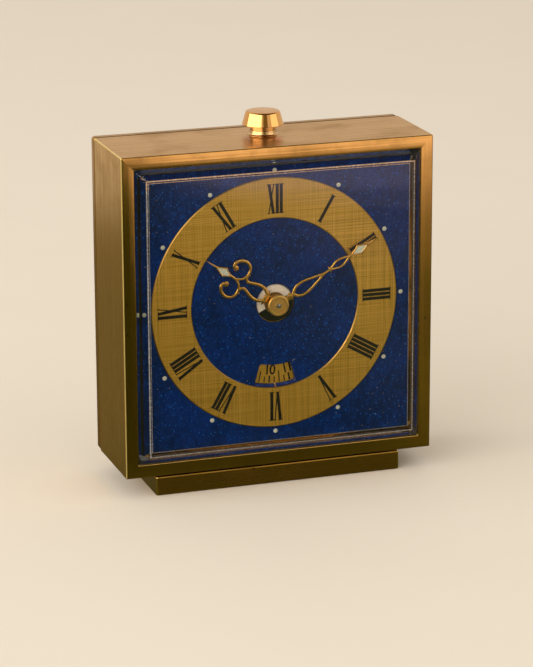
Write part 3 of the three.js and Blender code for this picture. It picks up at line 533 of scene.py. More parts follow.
def fret(field, box, s, levels, back, thin=0.006, both=False):
    """A flat piece from a signed-distance field. levels: [(inset, y of the front there)], the outermost first at inset 0;
    back is the y of the back, or with both=True the front is mirrored about it."""
    x0, x1, z0, z1 = box
    xs, zs = np.arange(x0, x1 + s, s), np.arange(z0, z1 + s, s)
    X, Z = np.meshgrid(xs, zs)
    F = field(X, Z)
    pts, edges, tag = [], [], []
    for inset, y in levels:
        for loop in contours(F, x0, z0, s, -inset):
            q = thin_out(loop, thin)
            if len(q) < 4:
                continue
            k = len(pts)
            pts += q
            tag += [y] * len(q)
            edges += [(k + i, k + (i + 1) % len(q)) for i in range(len(q))]
    co, _, tris, ov, _, _ = delaunay_2d_cdt([Vector(p) for p in pts], edges, [], 0, 1e-6)
    ys = [tag[o[0]] if o else levels[-1][1] for o in ov]

    def val(x, z):
        j, i = (x - x0) / s, (z - z0) / s
        j0, i0 = min(max(int(j), 0), F.shape[1] - 2), min(max(int(i), 0), F.shape[0] - 2)
        a, b = j - j0, i - i0
        return F[i0, j0] * (1 - a) * (1 - b) + F[i0, j0 + 1] * a * (1 - b) + F[i0 + 1, j0] * (1 - a) * b + F[i0 + 1, j0 + 1] * a * b

    keep = []
    for t in tris:
        cx, cz = sum(co[i].x for i in t) / 3, sum(co[i].y for i in t) / 3
        if val(cx, cz) < 0:
            keep.append(tuple(t))
    used = sorted({i for t in keep for i in t})
    ix = {v: k for k, v in enumerate(used)}
    n = len(used)
    verts = [(co[v].x, ys[v], co[v].y) for v in used]
    verts += [(co[v].x, (2 * back - ys[v]) if both else back, co[v].y) for v in used]
    faces = [tuple(ix[i] for i in t) for t in keep] + [tuple(n + ix[i] for i in reversed(t)) for t in keep]
    cnt = {}
    for t in keep:
        for a, b in zip(t, t[1:] + t[:1]):
            cnt.setdefault(frozenset((a, b)), []).append((a, b))
    for e in cnt.values():
        if len(e) == 1:
            a, b = e[0]
            faces.append((ix[a], ix[b], n + ix[b], n + ix[a]))
    return verts, faces


def spline(pts, n=8):
    """Smooth line through points (Catmull-Rom)."""
    P = [2 * Vector(pts[0]) - Vector(pts[1])] + [Vector(p) for p in pts] + [2 * Vector(pts[-1]) - Vector(pts[-2])]
    out = []
    for i in range(1, len(P) - 2):
        a, b, c, d = P[i - 1], P[i], P[i + 1], P[i + 2]
        for k in range(n):
            t = k / n
            out.append(tuple(0.5 * ((2 * b) + (c - a) * t + (2 * a - 5 * b + 4 * c - d) * t * t + (3 * b - 3 * c + d - a) * t ** 3)))
    out.append(tuple(P[-2]))
    return out


# ------------------------------------------------------------------ materials
GOLD_L, GOLD_D = (0.77, 0.437, 0.120), (0.57, 0.31, 0.072)
PATINA = (0.20, 0.105, 0.02)
m_top = brushed("brass_brushed_across", "x", (0.785, 0.442, 0.137), (0.585, 0.315, 0.085), 0.27, 0.5, (0, 1, 0), 0.22, patina_colour=PATINA)
m_side = brushed("brass_brushed_upright", "z", (0.78, 0.455, 0.105), (0.54, 0.30, 0.06), 0.30, 0.5, (0, 1, 0), grain=1.3, patina_colour=PATINA)
m_front = brushed("brass_front", "x", (0.74, 0.42, 0.10), (0.60, 0.33, 0.068), 0.08, 0.0, None, 0.45, (0.34, 0.18, 0.035), 0.12)
m_frontz = brushed("brass_front_upright", "z", (0.74, 0.42, 0.10), (0.60, 0.33, 0.068), 0.08, 0.0, None, 0.45, (0.34, 0.18, 0.035), 0.12)
# Bright worn brass for arrises. Where it is put only on the left and top-left edges of the case, it is partly wear and
# partly a painted highlight.
m_arris_wear_and_highlight = polished("brass_arris_wear_and_painted_highlight", (0.98, 0.74, 0.27), 0.27, (0.9, 0.6, 0.18), 0.008)
m_arrisz_wear_and_highlight = polished("brass_arris_upright_wear_and_painted_highlight", (0.98, 0.74, 0.27), 0.46, (0.9, 0.6, 0.18), 0.0)
m_slope = brushed("brass_frame_slope", "x", (0.76, 0.43, 0.10), (0.58, 0.31, 0.06), 0.13, 0.0, None, 0.45, (0.34, 0.17, 0.03), 0.5)
m_slopez = brushed("brass_frame_slope_upright", "z", (0.76, 0.43, 0.10), (0.58, 0.31, 0.06), 0.13, 0.0, None, 0.45, (0.34, 0.17, 0.03), 0.5)
m_rim = brushed("brass_cover_rim", "x", (0.54, 0.285, 0.06), (0.40, 0.205, 0.042), 0.30, 0.0, None, 0.4, (0.2, 0.11, 0.03), 0.8)
m_foot = brushed("brass_foot", "x", (0.60, 0.335, 0.06), (0.40, 0.215, 0.034), 0.2, 0.4, (0, 0, 1), grain=1.3, patina_colour=PATINA)
m_back = brushed("brass_back", "z", GOLD_L, GOLD_D, 0.3, 0.4, (1, 0, 0), patina_colour=PATINA)
m_edge = polished("brass_edge", (0.86, 0.54, 0.16), 0.14, (0.6, 0.34, 0.09))
m_gilt = polished("gilt_button", (0.82, 0.435, 0.145), 0.08, (0.76, 0.39, 0.12), 0.03)
# Darker gilt for the neck and the collar: painted shade under the button's cap.
m_neck_painted_shade = polished("gilt_neck_painted_shade", (0.66, 0.43, 0.19), 0.18, (0.52, 0.32, 0.13), 0.03)
m_giltop = polished("gilt_button_top", (0.77, 0.40, 0.125), 0.20, (0.70, 0.35, 0.10), 0.03, turn=(0.0006, 0.00015, 0.0866))
m_hand = polished("gilt_hands", (0.84, 0.48, 0.10), 0.24, (0.60, 0.31, 0.05), 0.03)
m_cap = polished("gilt_cap", (0.88, 0.54, 0.13), 0.36, (0.66, 0.38, 0.08), 0.025, turn=(0.0, 1.6 - YM, ZD))
m_knob = polished("gilt_knobs", (0.78, 0.48, 0.15), 0.2, (0.50, 0.29, 0.08), 0.05)
m_key = polished("gilt_keys", (0.80, 0.50, 0.16), 0.18, (0.48, 0.28, 0.08), 0.05)
m_screw = polished("gilt_screws", (0.74, 0.47, 0.17), 0.24, (0.38, 0.22, 0.07), 0.06)
m_steel = brushed("steel", "y", (0.55, 0.54, 0.53), (0.34, 0.33, 0.32), 0.26, 0, None, 0.15, (0.2, 0.17, 0.14))
m_blued = brushed("blued_steel_spring", "x", (0.05, 0.08, 0.26), (0.02, 0.03, 0.12), 0.25, 0, None, 0.1, (0.08, 0.04, 0.12), spots=False)
m_move = brushed("movement_brass", "x", (0.70, 0.47, 0.18), (0.50, 0.32, 0.11), 0.36, 0, None, 0.25, (0.28, 0.17, 0.05))


def make_lapis():
    m = Mat("lapis_dial_face", (0.01, 0.02, 0.09), 0.0, 0.34)
    v = m.vmul(m.mm, (1.0, 1.0, 0.66))
    big = m.noise(m.vadd(m.mm, (3, 1, 8)), 0.10, 4.0, 0.6, 0.4)
    mid = m.noise(v, 1.1, 5.0, 0.75)
    fine = m.noise(m.vadd(v, (40, 3, 12)), 4.2, 3.0, 0.6)
    c = m.mix(m.step(big, 0.32, 0.7), (0.0006, 0.0145, 0.080), (0.0009, 0.023, 0.150))
    c = m.mix(m.step(mid, 0.50, 0.74, 0.0, 0.9), c, (0.0012, 0.050, 0.30))
    c = m.mix(m.step(fine, 0.54, 0.34, 0.0, 0.5), c, (0.0005, 0.006, 0.028))
    d1, col1 = m.voronoi(m.vadd(v, (2, 9, 5)), 2.1)
    p1 = m.xyz(col1)
    f1 = m.math("MULTIPLY", m.step(d1, 0.34, 0.10), m.step(p1[0], 0.5, 0.92))
    c = m.mix(m.math("MULTIPLY", f1, 0.95), c, (0.006, 0.15, 0.60))
    d3, col3 = m.voronoi(m.vadd(v, (8, 2, 15)), 2.6)
    p3 = m.xyz(col3)
    f3 = m.math("MULTIPLY", m.step(d3, 0.36, 0.12), m.step(p3[1], 0.74, 0.96))
    c = m.mix(m.math("MULTIPLY", f3, 0.85), c, (0.075, 0.27, 0.44))
    d2, col2 = m.voronoi(m.vadd(m.mm, (11, 4, 21)), 0.78)
    p2 = m.xyz(col2)
    f2 = m.math("MULTIPLY", m.step(d2, 0.12, 0.05), m.step(p2[2], 0.74, 0.82))
    c = m.mix(f2, c, (0.40, 0.30, 0.12))
    m.set("Base Color", c)
    m.set("Metallic", m.math("MULTIPLY", f2, 0.6))
    m.set("Roughness", m.step(mid, 0.3, 0.75, 0.24, 0.36))
    m.set("Specular IOR Level", 0.06)
    m.set("Normal", m.bump(m.math("ADD", mid, fine), 0.12, 0.00002))
    return m.m


def make_linen(name, k=1.0, g=1.0):
    m = Mat(name, (0.40, 0.27, 0.06), 1.0, 0.5)
    a = m.noise(m.vmul(m.mm, (6.4 * k, 0.0, 0.03 * k)), 1.0, 2.0, 0.7)
    b = m.noise(m.vadd(m.vmul(m.mm, (0.03 * k, 0.0, 6.4 * k)), (9, 2, 5)), 1.0, 2.0, 0.7)
    a2 = m.noise(m.vadd(m.vmul(m.mm, (0.9 * k, 0.0, 0.03 * k)), (31, 0, 5)), 1.0, 2.0, 0.6)
    slow = m.noise(m.mm, 0.07, 3.0, 0.5)
    lines = m.math("ADD", m.math("MULTIPLY", a, 0.55), m.math("MULTIPLY", b, 0.45))
    c = m.mix(m.step(lines, 0.38, 0.60), (0.56 * g, 0.325 * g, 0.034), (0.97 * g, 0.60 * g, 0.10))
    c = m.mix(m.math("MULTIPLY", m.step(a2, 0.5, 0.62), 0.08), c, (0.60, 0.35, 0.04))
    c = m.mix(m.math("MULTIPLY", m.step(slow, 0.45, 0.7), 0.25), c, (0.72, 0.42, 0.055))
    m.set("Base Color", c)
    m.set("Roughness", m.step(lines, 0.35, 0.62, 0.58, 0.46))
    m.set("Normal", m.bump(lines, 0.45, 0.00002))
    return m.m


def make_print(name, colour=(0.006, 0.006, 0.006)):
    m = Mat(name, colour, 0.0, 0.45, Specular_IOR_Level=0.12)
    n = m.noise(m.mm, 3.0, 3.0, 0.6)
    m.set("Base Color", m.mix(m.step(n, 0.4, 0.75), colour, tuple(min(1, x * 2.2 + 0.004) for x in colour)))
    m.set("Roughness", m.step(n, 0.3, 0.7, 0.36, 0.55))
    m.set("Normal", m.bump(n, 0.2, 0.00001))
    return m.m


def make_lume():
    m = Mat("luminous_paint", (0.68, 0.70, 0.52), 0.0, 0.6)
    n = m.noise(m.mm, 5.0, 4.0, 0.7)
    s = m.noise(m.vadd(m.mm, (7, 7, 7)), 1.3, 2.0, 0.5)
    c = m.mix(m.step(n, 0.35, 0.7), (0.50, 0.52, 0.37), (0.80, 0.80, 0.62))
    c = m.mix(m.math("MULTIPLY", m.step(s, 0.5, 0.7), 0.3), c, (0.45, 0.42, 0.25))
    m.set("Base Color", c)
    m.set("Normal", m.bump(n, 0.5, 0.00003))
    return m.m


def make_day_night():
    m = Mat("day_night_print", (0.7, 0.67, 0.63), 0.0, 0.4)
    x, y, z = m.xyz(m.vadd(m.mm, (0.0, 0.0, -ZD)))
    a = (332.0) * D2R
    side = m.math("ADD", m.math("MULTIPLY", x, math.sin(a)), m.math("MULTIPLY", z, math.cos(a)))
    r = m.math("SQRT", m.math("ADD", m.math("MULTIPLY", x, x), m.math("MULTIPLY", z, z)))
    rings = m.math("SINE", m.math("MULTIPLY", r, 24.0))
    n = m.noise(m.mm, 1.5, 3.0, 0.6)
    white = m.mix(m.step(rings, -0.6, 0.8), (0.88, 0.76, 0.60), (0.98, 0.88, 0.74))
    white = m.mix(m.math("MULTIPLY", m.step(n, 0.45, 0.75), 0.3), white, (0.74, 0.62, 0.44))
    m.set("Base Color", m.mix(m.step(side, -0.02, 0.02), (0.004, 0.0045, 0.003), white))
    m.set("Specular IOR Level", 0.2)
    m.set("Roughness", m.step(rings, -1, 1, 0.32, 0.46))
    m.set("Normal", m.bump(rings, 0.25, 0.00001))
    return m.m


def make_crystal():
    m = Mat("clear_crystal_shader", (0.985, 0.99, 1.0), 0.0, 0.0, Transmission_Weight=1.0, IOR=1.49, Specular_IOR_Level=0.26)
    n = m.noise(m.vmul(m.mm, (0.4, 0.4, 0.4)), 1.0, 3.0, 0.5)
    sc = m.noise(m.vmul(m.mm, (3.0, 1.0, 0.12)), 1.0, 3.0, 0.6)
    m.set("Roughness", m.step(m.math("ADD", m.math("MULTIPLY", n, 0.6), m.math("MULTIPLY", sc, 0.4)), 0.5, 0.8, 0.0, 0.05))
    return m.m


def make_scuffed():
    """Softly worn arrises of the crystal; a painted highlight tints them pink-tan along the top and a lighter grey
    along the bottom and the right side.
    """
    m = Mat("crystal_arris_scuffs_and_painted_highlight", (0.4, 0.36, 0.33), 0.0, 0.3, Transmission_Weight=0.5, IOR=1.49, Specular_IOR_Level=0.35)
    n = m.noise(m.mm, 0.22, 3.0, 0.5)
    f = m.noise(m.mm, 3.0, 3.0, 0.6)
    c = m.mix(m.step(n, 0.34, 0.68), (0.27, 0.26, 0.25), (0.44, 0.43, 0.42))
    # Painted highlight: pink-tan along the top arrises.
    c = m.mix(m.math("MULTIPLY", m.step(m.xyz(m.mm)[2], ZD + 29.0, ZD + 32.0), 0.85), c, (0.86, 0.56, 0.37))
    # Painted highlight: lighter grey along the bottom and right arrises, short of the top.
    low = m.math("MAXIMUM", m.step(m.xyz(m.mm)[2], ZD - 28.0, ZD - 31.0), m.step(m.xyz(m.mm)[0], 28.0, 31.0))
    c = m.mix(m.math("MULTIPLY", low, m.step(m.xyz(m.mm)[2], ZD + 31.0, ZD + 29.0, 0.0, 0.8)), c, (0.42, 0.43, 0.44))
    m.set("Base Color", c)
    m.set("Roughness", m.step(f, 0.3, 0.7, 0.20, 0.30))
    return m.m


def make_rubber():
    m = Mat("black_gasket_shader", (0.012, 0.012, 0.013), 0.0, 0.7)
    n = m.noise(m.mm, 2.0, 4.0, 0.7)
    m.set("Base Color", m.mix(m.step(n, 0.4, 0.7), (0.008, 0.008, 0.009), (0.025, 0.024, 0.024)))
    m.set("Roughness", m.step(n, 0.3, 0.7, 0.6, 0.85))
    m.set("Normal", m.bump(n, 0.4, 0.00004))
    return m.m


m_lapis = make_lapis()
m_linen = make_linen("gilt_linen_ring", 1.0, 0.93)
m_linen_edge = polished("gilt_ring_edge", (0.50, 0.285, 0.075), 0.38, (0.40, 0.22, 0.05))
m_alarm = make_linen("gilt_alarm_disc", 1.2)
m_print = make_print("black_print")
m_lume = make_lume()
m_day = make_day_night()
m_crystal = make_crystal()
m_scuffed_and_painted_highlight = make_scuffed()
m_gasket = make_rubber()
m_bevel = Mat("lapis_window_bevel", (0.03, 0.045, 0.22), 0.0, 0.16)
_n = m_bevel.noise(m_bevel.mm, 1.6, 4.0, 0.7)
m_bevel.set("Base Color", m_bevel.mix(m_bevel.step(_n, 0.4, 0.7), (0.010, 0.020, 0.11), (0.03, 0.07, 0.26)))
m_bevel = m_bevel.m
m_index = polished("gilt_index", (0.95, 0.60, 0.34), 0.34, (0.8, 0.48, 0.24))
# Near-black metal used as painted shade: in the seam between the case and the rear cover, behind the dial's openings,
# and on the cannon pinion seen through the cap.
m_shade_dark = brushed("dark_metal_painted_shade", "x", (0.022, 0.016, 0.010), (0.012, 0.009, 0.006), 0.5, 0, None, 0.2, (0.01, 0.008, 0.005))

# ------------------------------------------------------------------ case
HW, HH, CD, WALL = 37.5, 37.9, 22.5, 1.8
BX, BY = 0.6, 13.9
TB, AB, SA, BAL = (-18.070, -9.028), (18.0, -9.0), (0.0, -25.2), (18.004, 13.405)
SCREWS = [(-32.2, 32.6), (32.2, 32.6), (-32.2, -32.6), (32.2, -32.6)]


def cyl(r, h0, h1, n=48, axis="y", c=(0, 0)):
    return lathe([(0, h0), (r, h0), (r, h1), (0, h1)], n, axis, c)


def case_shell():
    e, b = 0.16, 0.10
    # the front arris is rounded in four steps
    q = 0.24
    prof = [(0.0, q), (0.0, CD - b), (b, CD), (WALL - b, CD), (WALL, CD - b), (WALL, 0.0), (q, 0.0)]
    prof += [(q * (1 - math.sin(a)), q * (1 - math.cos(a))) for a in (0.39, 0.785, 1.18)]
    levels = []
    for d, y in prof:
        r = max(0.26 - d, 0.03) if d < 1.0 else 0.25
        levels.append((y, rr(HW - d, HH - d, r, 3)))
    verts, faces = loft(levels, closed=True)
    k = len(levels[0][1])
    fm = []
    for s in range(len(levels)):
        for i in range(k):
            # bands: 0 the outside, 5 the front land, 6 and on the rounded arris; i is 3 on top, 7 left, 11 below, 15 right
            # The back chamfer all round, the top-left upright corner, the left front arris and the top-left front
            # corner take the bright arris brass. This is partly wear and partly a painted highlight. The other front
            # arrises keep the land's brass.
            if s == 0:
                fm.append({3: 0, 7: 1, 11: 0, 15: 1}.get(i, 3 if i in (4, 5, 6) else 0))
            elif s == 5:
                fm.append({3: 2, 7: 4, 11: 2, 15: 4}.get(i, 2))
            else:
                fm.append((5 if i == 7 else 3 if i in (4, 5, 6) else 2) if s >= 6 else 3 if s == 1 else 0)
    holes = [tool(*cyl(3.42, HH - 4, HH + 2, 64, "z", (BX, BY)))]
    holes += [tool(*cyl(1.35, -HH - 2, -HH + 4, 24, "z", (x, 11.5))) for x in (-20, 20)]
    o = build("case_shell", verts, faces, [m_top, m_side, m_front, m_arris_wear_and_highlight, m_frontz, m_arrisz_wear_and_highlight], "case", "satin_brass", ("case_body",), 50, True, fm, holes, merge=False)
    return o


case_shell()

# corner lugs that carry the rear cover, inside the case
for i, (x, z) in enumerate(SCREWS):
    sx, sz = (1 if x > 0 else -1), (1 if z > 0 else -1)
    x0, x1, z0, z1 = x - sx * 2.8, sx * (HW - WALL), z - sz * 2.8, sz * (HH - WALL)
    v, f = loft([(14.0, rr(abs(x1 - x0) / 2, abs(z1 - z0) / 2, 0.3, 2, (x0 + x1) / 2, (z0 + z1) / 2)), (CD - 0.05, rr(abs(x1 - x0) / 2, abs(z1 - z0) / 2, 0.3, 2, (x0 + x1) / 2, (z0 + z1) / 2))])
    build(f"case_lug_{i + 1}", v, f, m_move, "case", "satin_brass", (), 30, False, None, [tool(*cyl(1.15, 16.0, CD + 1, 24, "y", (x, z)))])

# inner front frame: flush with the case, then a soft slope down to the crystal
ow, oh, iw, ih = HW - WALL, HH - WALL, 34.45, 34.85
prof = [(0.0, 0.0), (0.06, 0.003), (0.45, 0.004), (0.86, 0.012), (1.08, 0.028), (1.15, 0.045), (1.20, 0.080), (1.235, 0.125), (1.25, 0.18), (1.25, 1.05), (0.0, 1.05)]
levels = [(y, rr(ow - d, oh - d, 0.25, 3)) for d, y in prof]
v, f = loft(levels, closed=True)
fm = []
for k in range(len(levels)):
    fm += [(3 if 4 <= k <= 7 else 1 if i in (7, 15) else 0) for i in range(16)]
build("front_frame", v, f, [m_slope, m_slopez, m_front, m_edge], "case", "satin_brass", ("front_bezel",), 55, True, fm, merge=False)

# crystal: flat front, 45 degree bevels with mitred corners, a flange behind the frame, hollow at the back
hw, hh = iw - 0.1, ih - 0.1
b, T = 2.2, 1.8
k = T * (math.sqrt(2) - 1)
e, t, u = 0.07, 0.14, 0.10
levels = [
    (-2.1, rr(hw - b - t, hh - b - t, 0.10)), (-2.1 + 0.185 * t, rr(hw - b - 0.185 * t, hh - b - 0.185 * t, 0.12)), (-2.1 + 0.707 * t, rr(hw - b + 0.707 * t, hh - b + 0.707 * t, 0.13)),
    (0.1 - e, rr(hw - e, hh - e, 0.2)), (0.1 + e * 0.8, rr(hw, hh, 0.25)), (1.1, rr(hw, hh, 0.25)), (1.1, rr(HW - 2.05, HH - 2.05, 0.3)), (2.4, rr(HW - 2.05, HH - 2.05, 0.3)),
    (2.4, rr(hw - T, hh - T, 0.25)), (0.1 + k + e, rr(hw - T, hh - T, 0.25)), (0.1 + k - e * 0.4, rr(hw - T - e * 0.5, hh - T - e * 0.5, 0.2)),
    (-0.3 + 0.707 * u, rr(hw - b - k + 0.707 * u, hh - b - k + 0.707 * u, 0.15)), (-0.3 + 0.185 * u, rr(hw - b - k - 0.185 * u, hh - b - k - 0.185 * u, 0.14)), (-0.3, rr(hw - b - k - u, hh - b - k - u, 0.12)),
]
v, f = loft(levels)
# The rounded arrises at the front and at the back of the hollow take the scuffed arris shader, whose colour carries a
# painted highlight.
fm = []
for s_ in range(len(levels) - 1):
    for i in range(16):
        fm.append(1 if s_ in (0, 1, 11, 12) else 0)
fm += [0, 0]
crystal = build("crystal_cover", v, f, [m_crystal, m_scuffed_and_painted_highlight], "case", "clear_crystal", ("crystal",), 28, True, fm, merge=False)
crystal.visible_shadow = False

# ------------------------------------------------------------------ dial
DY = 4.2
win_a = 14.7


def sector(r0, r1, half, rc, n=20):
    """Outline of a ring sector centred at six, with rounded corners."""
    out = []

    def pol(r, t):
        return (r * math.sin(t), -r * math.cos(t))

    a = half * D2R
    for i in range(n + 1):
        t = -(a - rc / r1) + 2 * (a - rc / r1) * i / n
        out.append(pol(r1, t))
    for q in range(1, 5):
        f = q / 5 * math.pi / 2
        out.append(pol(r1 - rc * (1 - math.cos(f)), a - rc / r1 * (1 - math.sin(f))))
    out.append(pol(r1 - rc, a))
    out.append(pol(r0 + rc, a))
    for q in range(1, 5):
        f = q / 5 * math.pi / 2
        out.append(pol(r0 + rc * (1 - math.sin(f)), a - rc / r0 * (1 - math.cos(f))))
    for i in range(n + 1):
        t = (a - rc / r0) - 2 * (a - rc / r0) * i / n
        out.append(pol(r0, t))
    for q in range(1, 5):
        f = q / 5 * math.pi / 2
        out.append(pol(r0 + rc * (1 - math.cos(f)), -(a - rc / r0 * (1 - math.sin(f)))))
    out.append(pol(r0 + rc, -a))
    out.append(pol(r1 - rc, -a))
    for q in range(1, 5):
        f = q / 5 * math.pi / 2
        out.append(pol(r1 - rc * (1 - math.sin(f)), -(a - rc / r1 * (1 - math.cos(f)))))
    return out


window = sector(14.9, 19.62, win_a, 0.6)
wide = sector(14.9, 20.15, 15.3, 0.35)
plate = rr(35.4, 35.8, 0.4, 3)
# stone face: open in the middle and at the window, whose lower edge is cut back to a slope
face = region([plate], [ring_pts(4.6, 96), sector(14.86, 20.12, 14.95, 0.7)])
v1, f1 = slab(face, DY, DY + 0.18)
build("dial_face", v1, f1, m_lapis, "case", "lapis_dial", ("dial_plate",), 40)
# The backing seen at the dial's openings is near-black, a painted shade.
back = region([plate], [ring_pts(4.75, 96), window])
v2, f2 = slab(back, DY + 0.55, DY + 0.8)
build("dial_backing", v2, f2, m_shade_dark, "case", "lapis_dial", (), 40)
# the sloping cut round the window, widest below
outer_w, inner_w = sector(14.86, 20.12, 14.95, 0.7), window
kk = len(outer_w)
lv = [(DY + 0.0, outer_w), (DY + 0.55, inner_w), (DY + 0.62, inner_w), (DY + 0.62, [(x * 1.0, z) for x, z in sector(14.7, 20.3, 15.3, 0.7)])]
vv, ff = loft(lv, closed=False)
ff = ff[:-2]
lvn = len(vv)
build("window_slope", vv, ff, m_bevel, "case", "lapis_dial", (), 40)
# feet of the dial
feet = join_parts(*[cyl(1.3, DY + 0.7, 9.1, 20, "y", p) for p in ((-27, 27), (27, 27), (-27, -27), (27, -27))])
build("dial_feet", *feet, m_move, "case", "lapis_dial")

# chapter ring with bright bevelled edges
RO, RI = 30.0, 20.3
prof = [(RI + 0.22, 3.89), (RO - 0.22, 3.89), (RO - 0.04, 4.0), (RO, 4.06), (RO, 4.19), (RI, 4.19), (RI, 4.06), (RI + 0.04, 4.0)]
v, f = lathe(prof, 192, closed=True)
fm = []
for s in range(len(prof)):
    fm += [0 if s == 0 else 1] * 192
build("hour_ring", v, f, [m_linen, m_linen_edge], "case", "gilt_linen", ("chapter_ring",), 25, False, fm, merge=False)

# numerals: feet towards the centre
TH, HAIR, BAR = 0.76, 0.25, 0.19
R0, R1 = 21.45, 28.45


def bar(deg, t0, t1, w, s0=0.0, s1=1.0):
    """A stroke from across-position t0 at the foot to t1 at the head."""
    r0, r1 = R0 + (R1 - R0) * s0, R0 + (R1 - R0) * s1
    return [clockpt(deg, r0, t0 - w / 2), clockpt(deg, r0, t0 + w / 2), clockpt(deg, r1, t1 + w / 2), clockpt(deg, r1, t1 - w / 2)]


def serif(deg, t, w, top):
    r = (R1 - BAR, R1) if top else (R0, R0 + BAR)
    return [clockpt(deg, r[0], t - w / 2), clockpt(deg, r[0], t + w / 2), clockpt(deg, r[1], t + w / 2), clockpt(deg, r[1], t - w / 2)]


def numeral(deg, text):
    adv = {"I": 0.97, "V": 2.05, "X": 1.95}
    total = sum(adv[c] for c in text)
    x, polys = -total / 2, []
    for c in text:
        m = x + adv[c] / 2
        if c == "I":
            polys += [bar(deg, m, m, TH), serif(deg, m, TH + 0.46, True), serif(deg, m, TH + 0.46, False)]
        elif c == "V":
            polys += [bar(deg, m + 0.08, m - 0.62, TH * 0.95), bar(deg, m + 0.12, m + 0.72, HAIR), serif(deg, m - 0.62, 1.15, True), serif(deg, m + 0.72, 0.62, True)]
        else:
            polys += [bar(deg, m + 0.52, m - 0.52, TH * 0.95), bar(deg, m - 0.62, m + 0.62, HAIR), serif(deg, m - 0.52, 1.1, True), serif(deg, m + 0.62, 0.6, True), serif(deg, m + 0.52, 1.1, False), serif(deg, m - 0.62, 0.6, False)]
        x += adv[c]
    return polys


parts = []
for i, text in enumerate(("XII", "I", "II", "III", "IIII", "V", "VI", "VII", "VIII", "IX", "X", "XI")):
    parts.append(slab(region(numeral(30 * i, text)), 3.865, 3.895))
build("hour_numerals", *join_parts(*parts), m_print, "case", None, (), 40, merge=False)

# luminous dots outside the ring
dots = []
for i in range(12):
    x, z = clockpt(30 * i, 31.1, 0)
    dots.append(lathe([(0, DY - 0.16), (0.25, DY - 0.145), (0.42, DY - 0.09), (0.52, DY - 0.02), (0.53, DY + 0.03), (0, DY + 0.03)], 20, "y", (x, z)))
build("hour_dots", *join_parts(*dots), m_lume, "case", None, (), 50)

# gilt mark on the window's slope
rows = [(19.46, DY + 0.50), (19.64, DY + 0.47), (20.13, DY - 0.05), (20.29, DY - 0.05)]
vm = [(w, y + d, -r) for d in (0.0, 0.07) for r, y in rows for w in (-0.19, 0.19)]
fi = [(2 * k, 2 * k + 1, 2 * k + 3, 2 * k + 2) for k in range(3)] + [(8 + 2 * k, 10 + 2 * k, 11 + 2 * k, 9 + 2 * k) for k in range(3)]
fi += [(2 * k, 2 * k + 2, 10 + 2 * k, 8 + 2 * k) for k in range(3)] + [(2 * k + 1, 9 + 2 * k, 11 + 2 * k, 2 * k + 3) for k in range(3)] + [(0, 8, 9, 1), (6, 7, 15, 14)]
build("alarm_index", vm, fi, m_index, "case", "polished_gilt", (), 25, False)

# day-and-night disc
v, f = lathe([(2.6, 4.47), (4.34, 4.47), (4.4, 4.53), (4.4, 4.75), (2.6, 4.75)], 96, closed=True)
build("day_night_face", v, f, m_day, "day_night", "day_night", ("day_night_disc",), 30)

# alarm disc: numbers and marks
texts = []
HA = 10.25
ticks = []
for q in range(96):
    h = q / 4
    deg = 180 - (h - HA) * 15
    if q % 4 == 0:
        w, r0 = 0.38, 17.75
    elif q % 2 == 0:
        w, r0 = 0.26, 16.75
    else:
        w, r0 = 0.27, 18.0
    r1 = 19.45
    ticks.append([clockpt(deg, r0, -w / 2), clockpt(deg, r0, w / 2), clockpt(deg, r1, w / 2), clockpt(deg, r1, -w / 2)])
v, f = join_parts(*[slab(region([t]), 5.115, 5.145) for t in ticks])
build("alarm_ticks", v, f, m_print, "alarm_dial", None, (), 40, merge=False)

for h in range(1, 25):
    cu = bpy.data.curves.new(f"number_{h}", "FONT")
    cu.body = str(h)
    cu.size = 3.45
    cu.align_x, cu.align_y = "CENTER", "CENTER"
    cu.extrude = 0.0
    cu.offset = 0.062
    cu.space_character = 0.88
    tmp = bpy.data.objects.new("tmp", cu)
    bpy.context.scene.collection.objects.link(tmp)
    bpy.context.view_layer.update()
    me = bpy.data.meshes.new_from_object(tmp.evaluated_get(bpy.context.evaluated_depsgraph_get()))
    deg = 180 - (h - HA) * 15
    # upright when it stands at six: its head points to the centre
    er = Vector(clockpt(deg, -1, 0))
    et = Vector((er.y, -er.x))
    c0 = Vector(clockpt(deg, 16.42, 0))
    pts = []
    for vert in me.vertices:
        p = c0 + et * (vert.co.x * 0.86) + er * vert.co.y
        pts.append((p.x, p.y))
    tri = bmesh.new()
    tri.from_mesh(me)
    bmesh.ops.triangulate(tri, faces=tri.faces)
    tl = [tuple(x.index for x in fc.verts) for fc in tri.faces]
    tri.free()
    texts.append(slab((pts, tl), 5.115, 5.145))
    bpy.data.objects.remove(tmp)
    bpy.data.meshes.remove(me)
    bpy.data.curves.remove(cu)
build("alarm_numbers", *join_parts(*texts), m_print, "alarm_dial", None, (), 40)

# ------------------------------------------------------------------ hands
HOUR, MINUTE = 305.0, 60.0


def world_field(deg, f):
    """Turns a field in (outward, across) into one in (x, z)."""
    a = deg * D2R

    def g(X, Z):
        U = X * math.sin(a) + Z * math.cos(a)
        Vv = X * math.cos(a) - Z * math.sin(a)
        return f(U, Vv)

    return g


def mirrored(pts):
    return list(pts) + [(u, -v) for u, v in reversed(pts)]


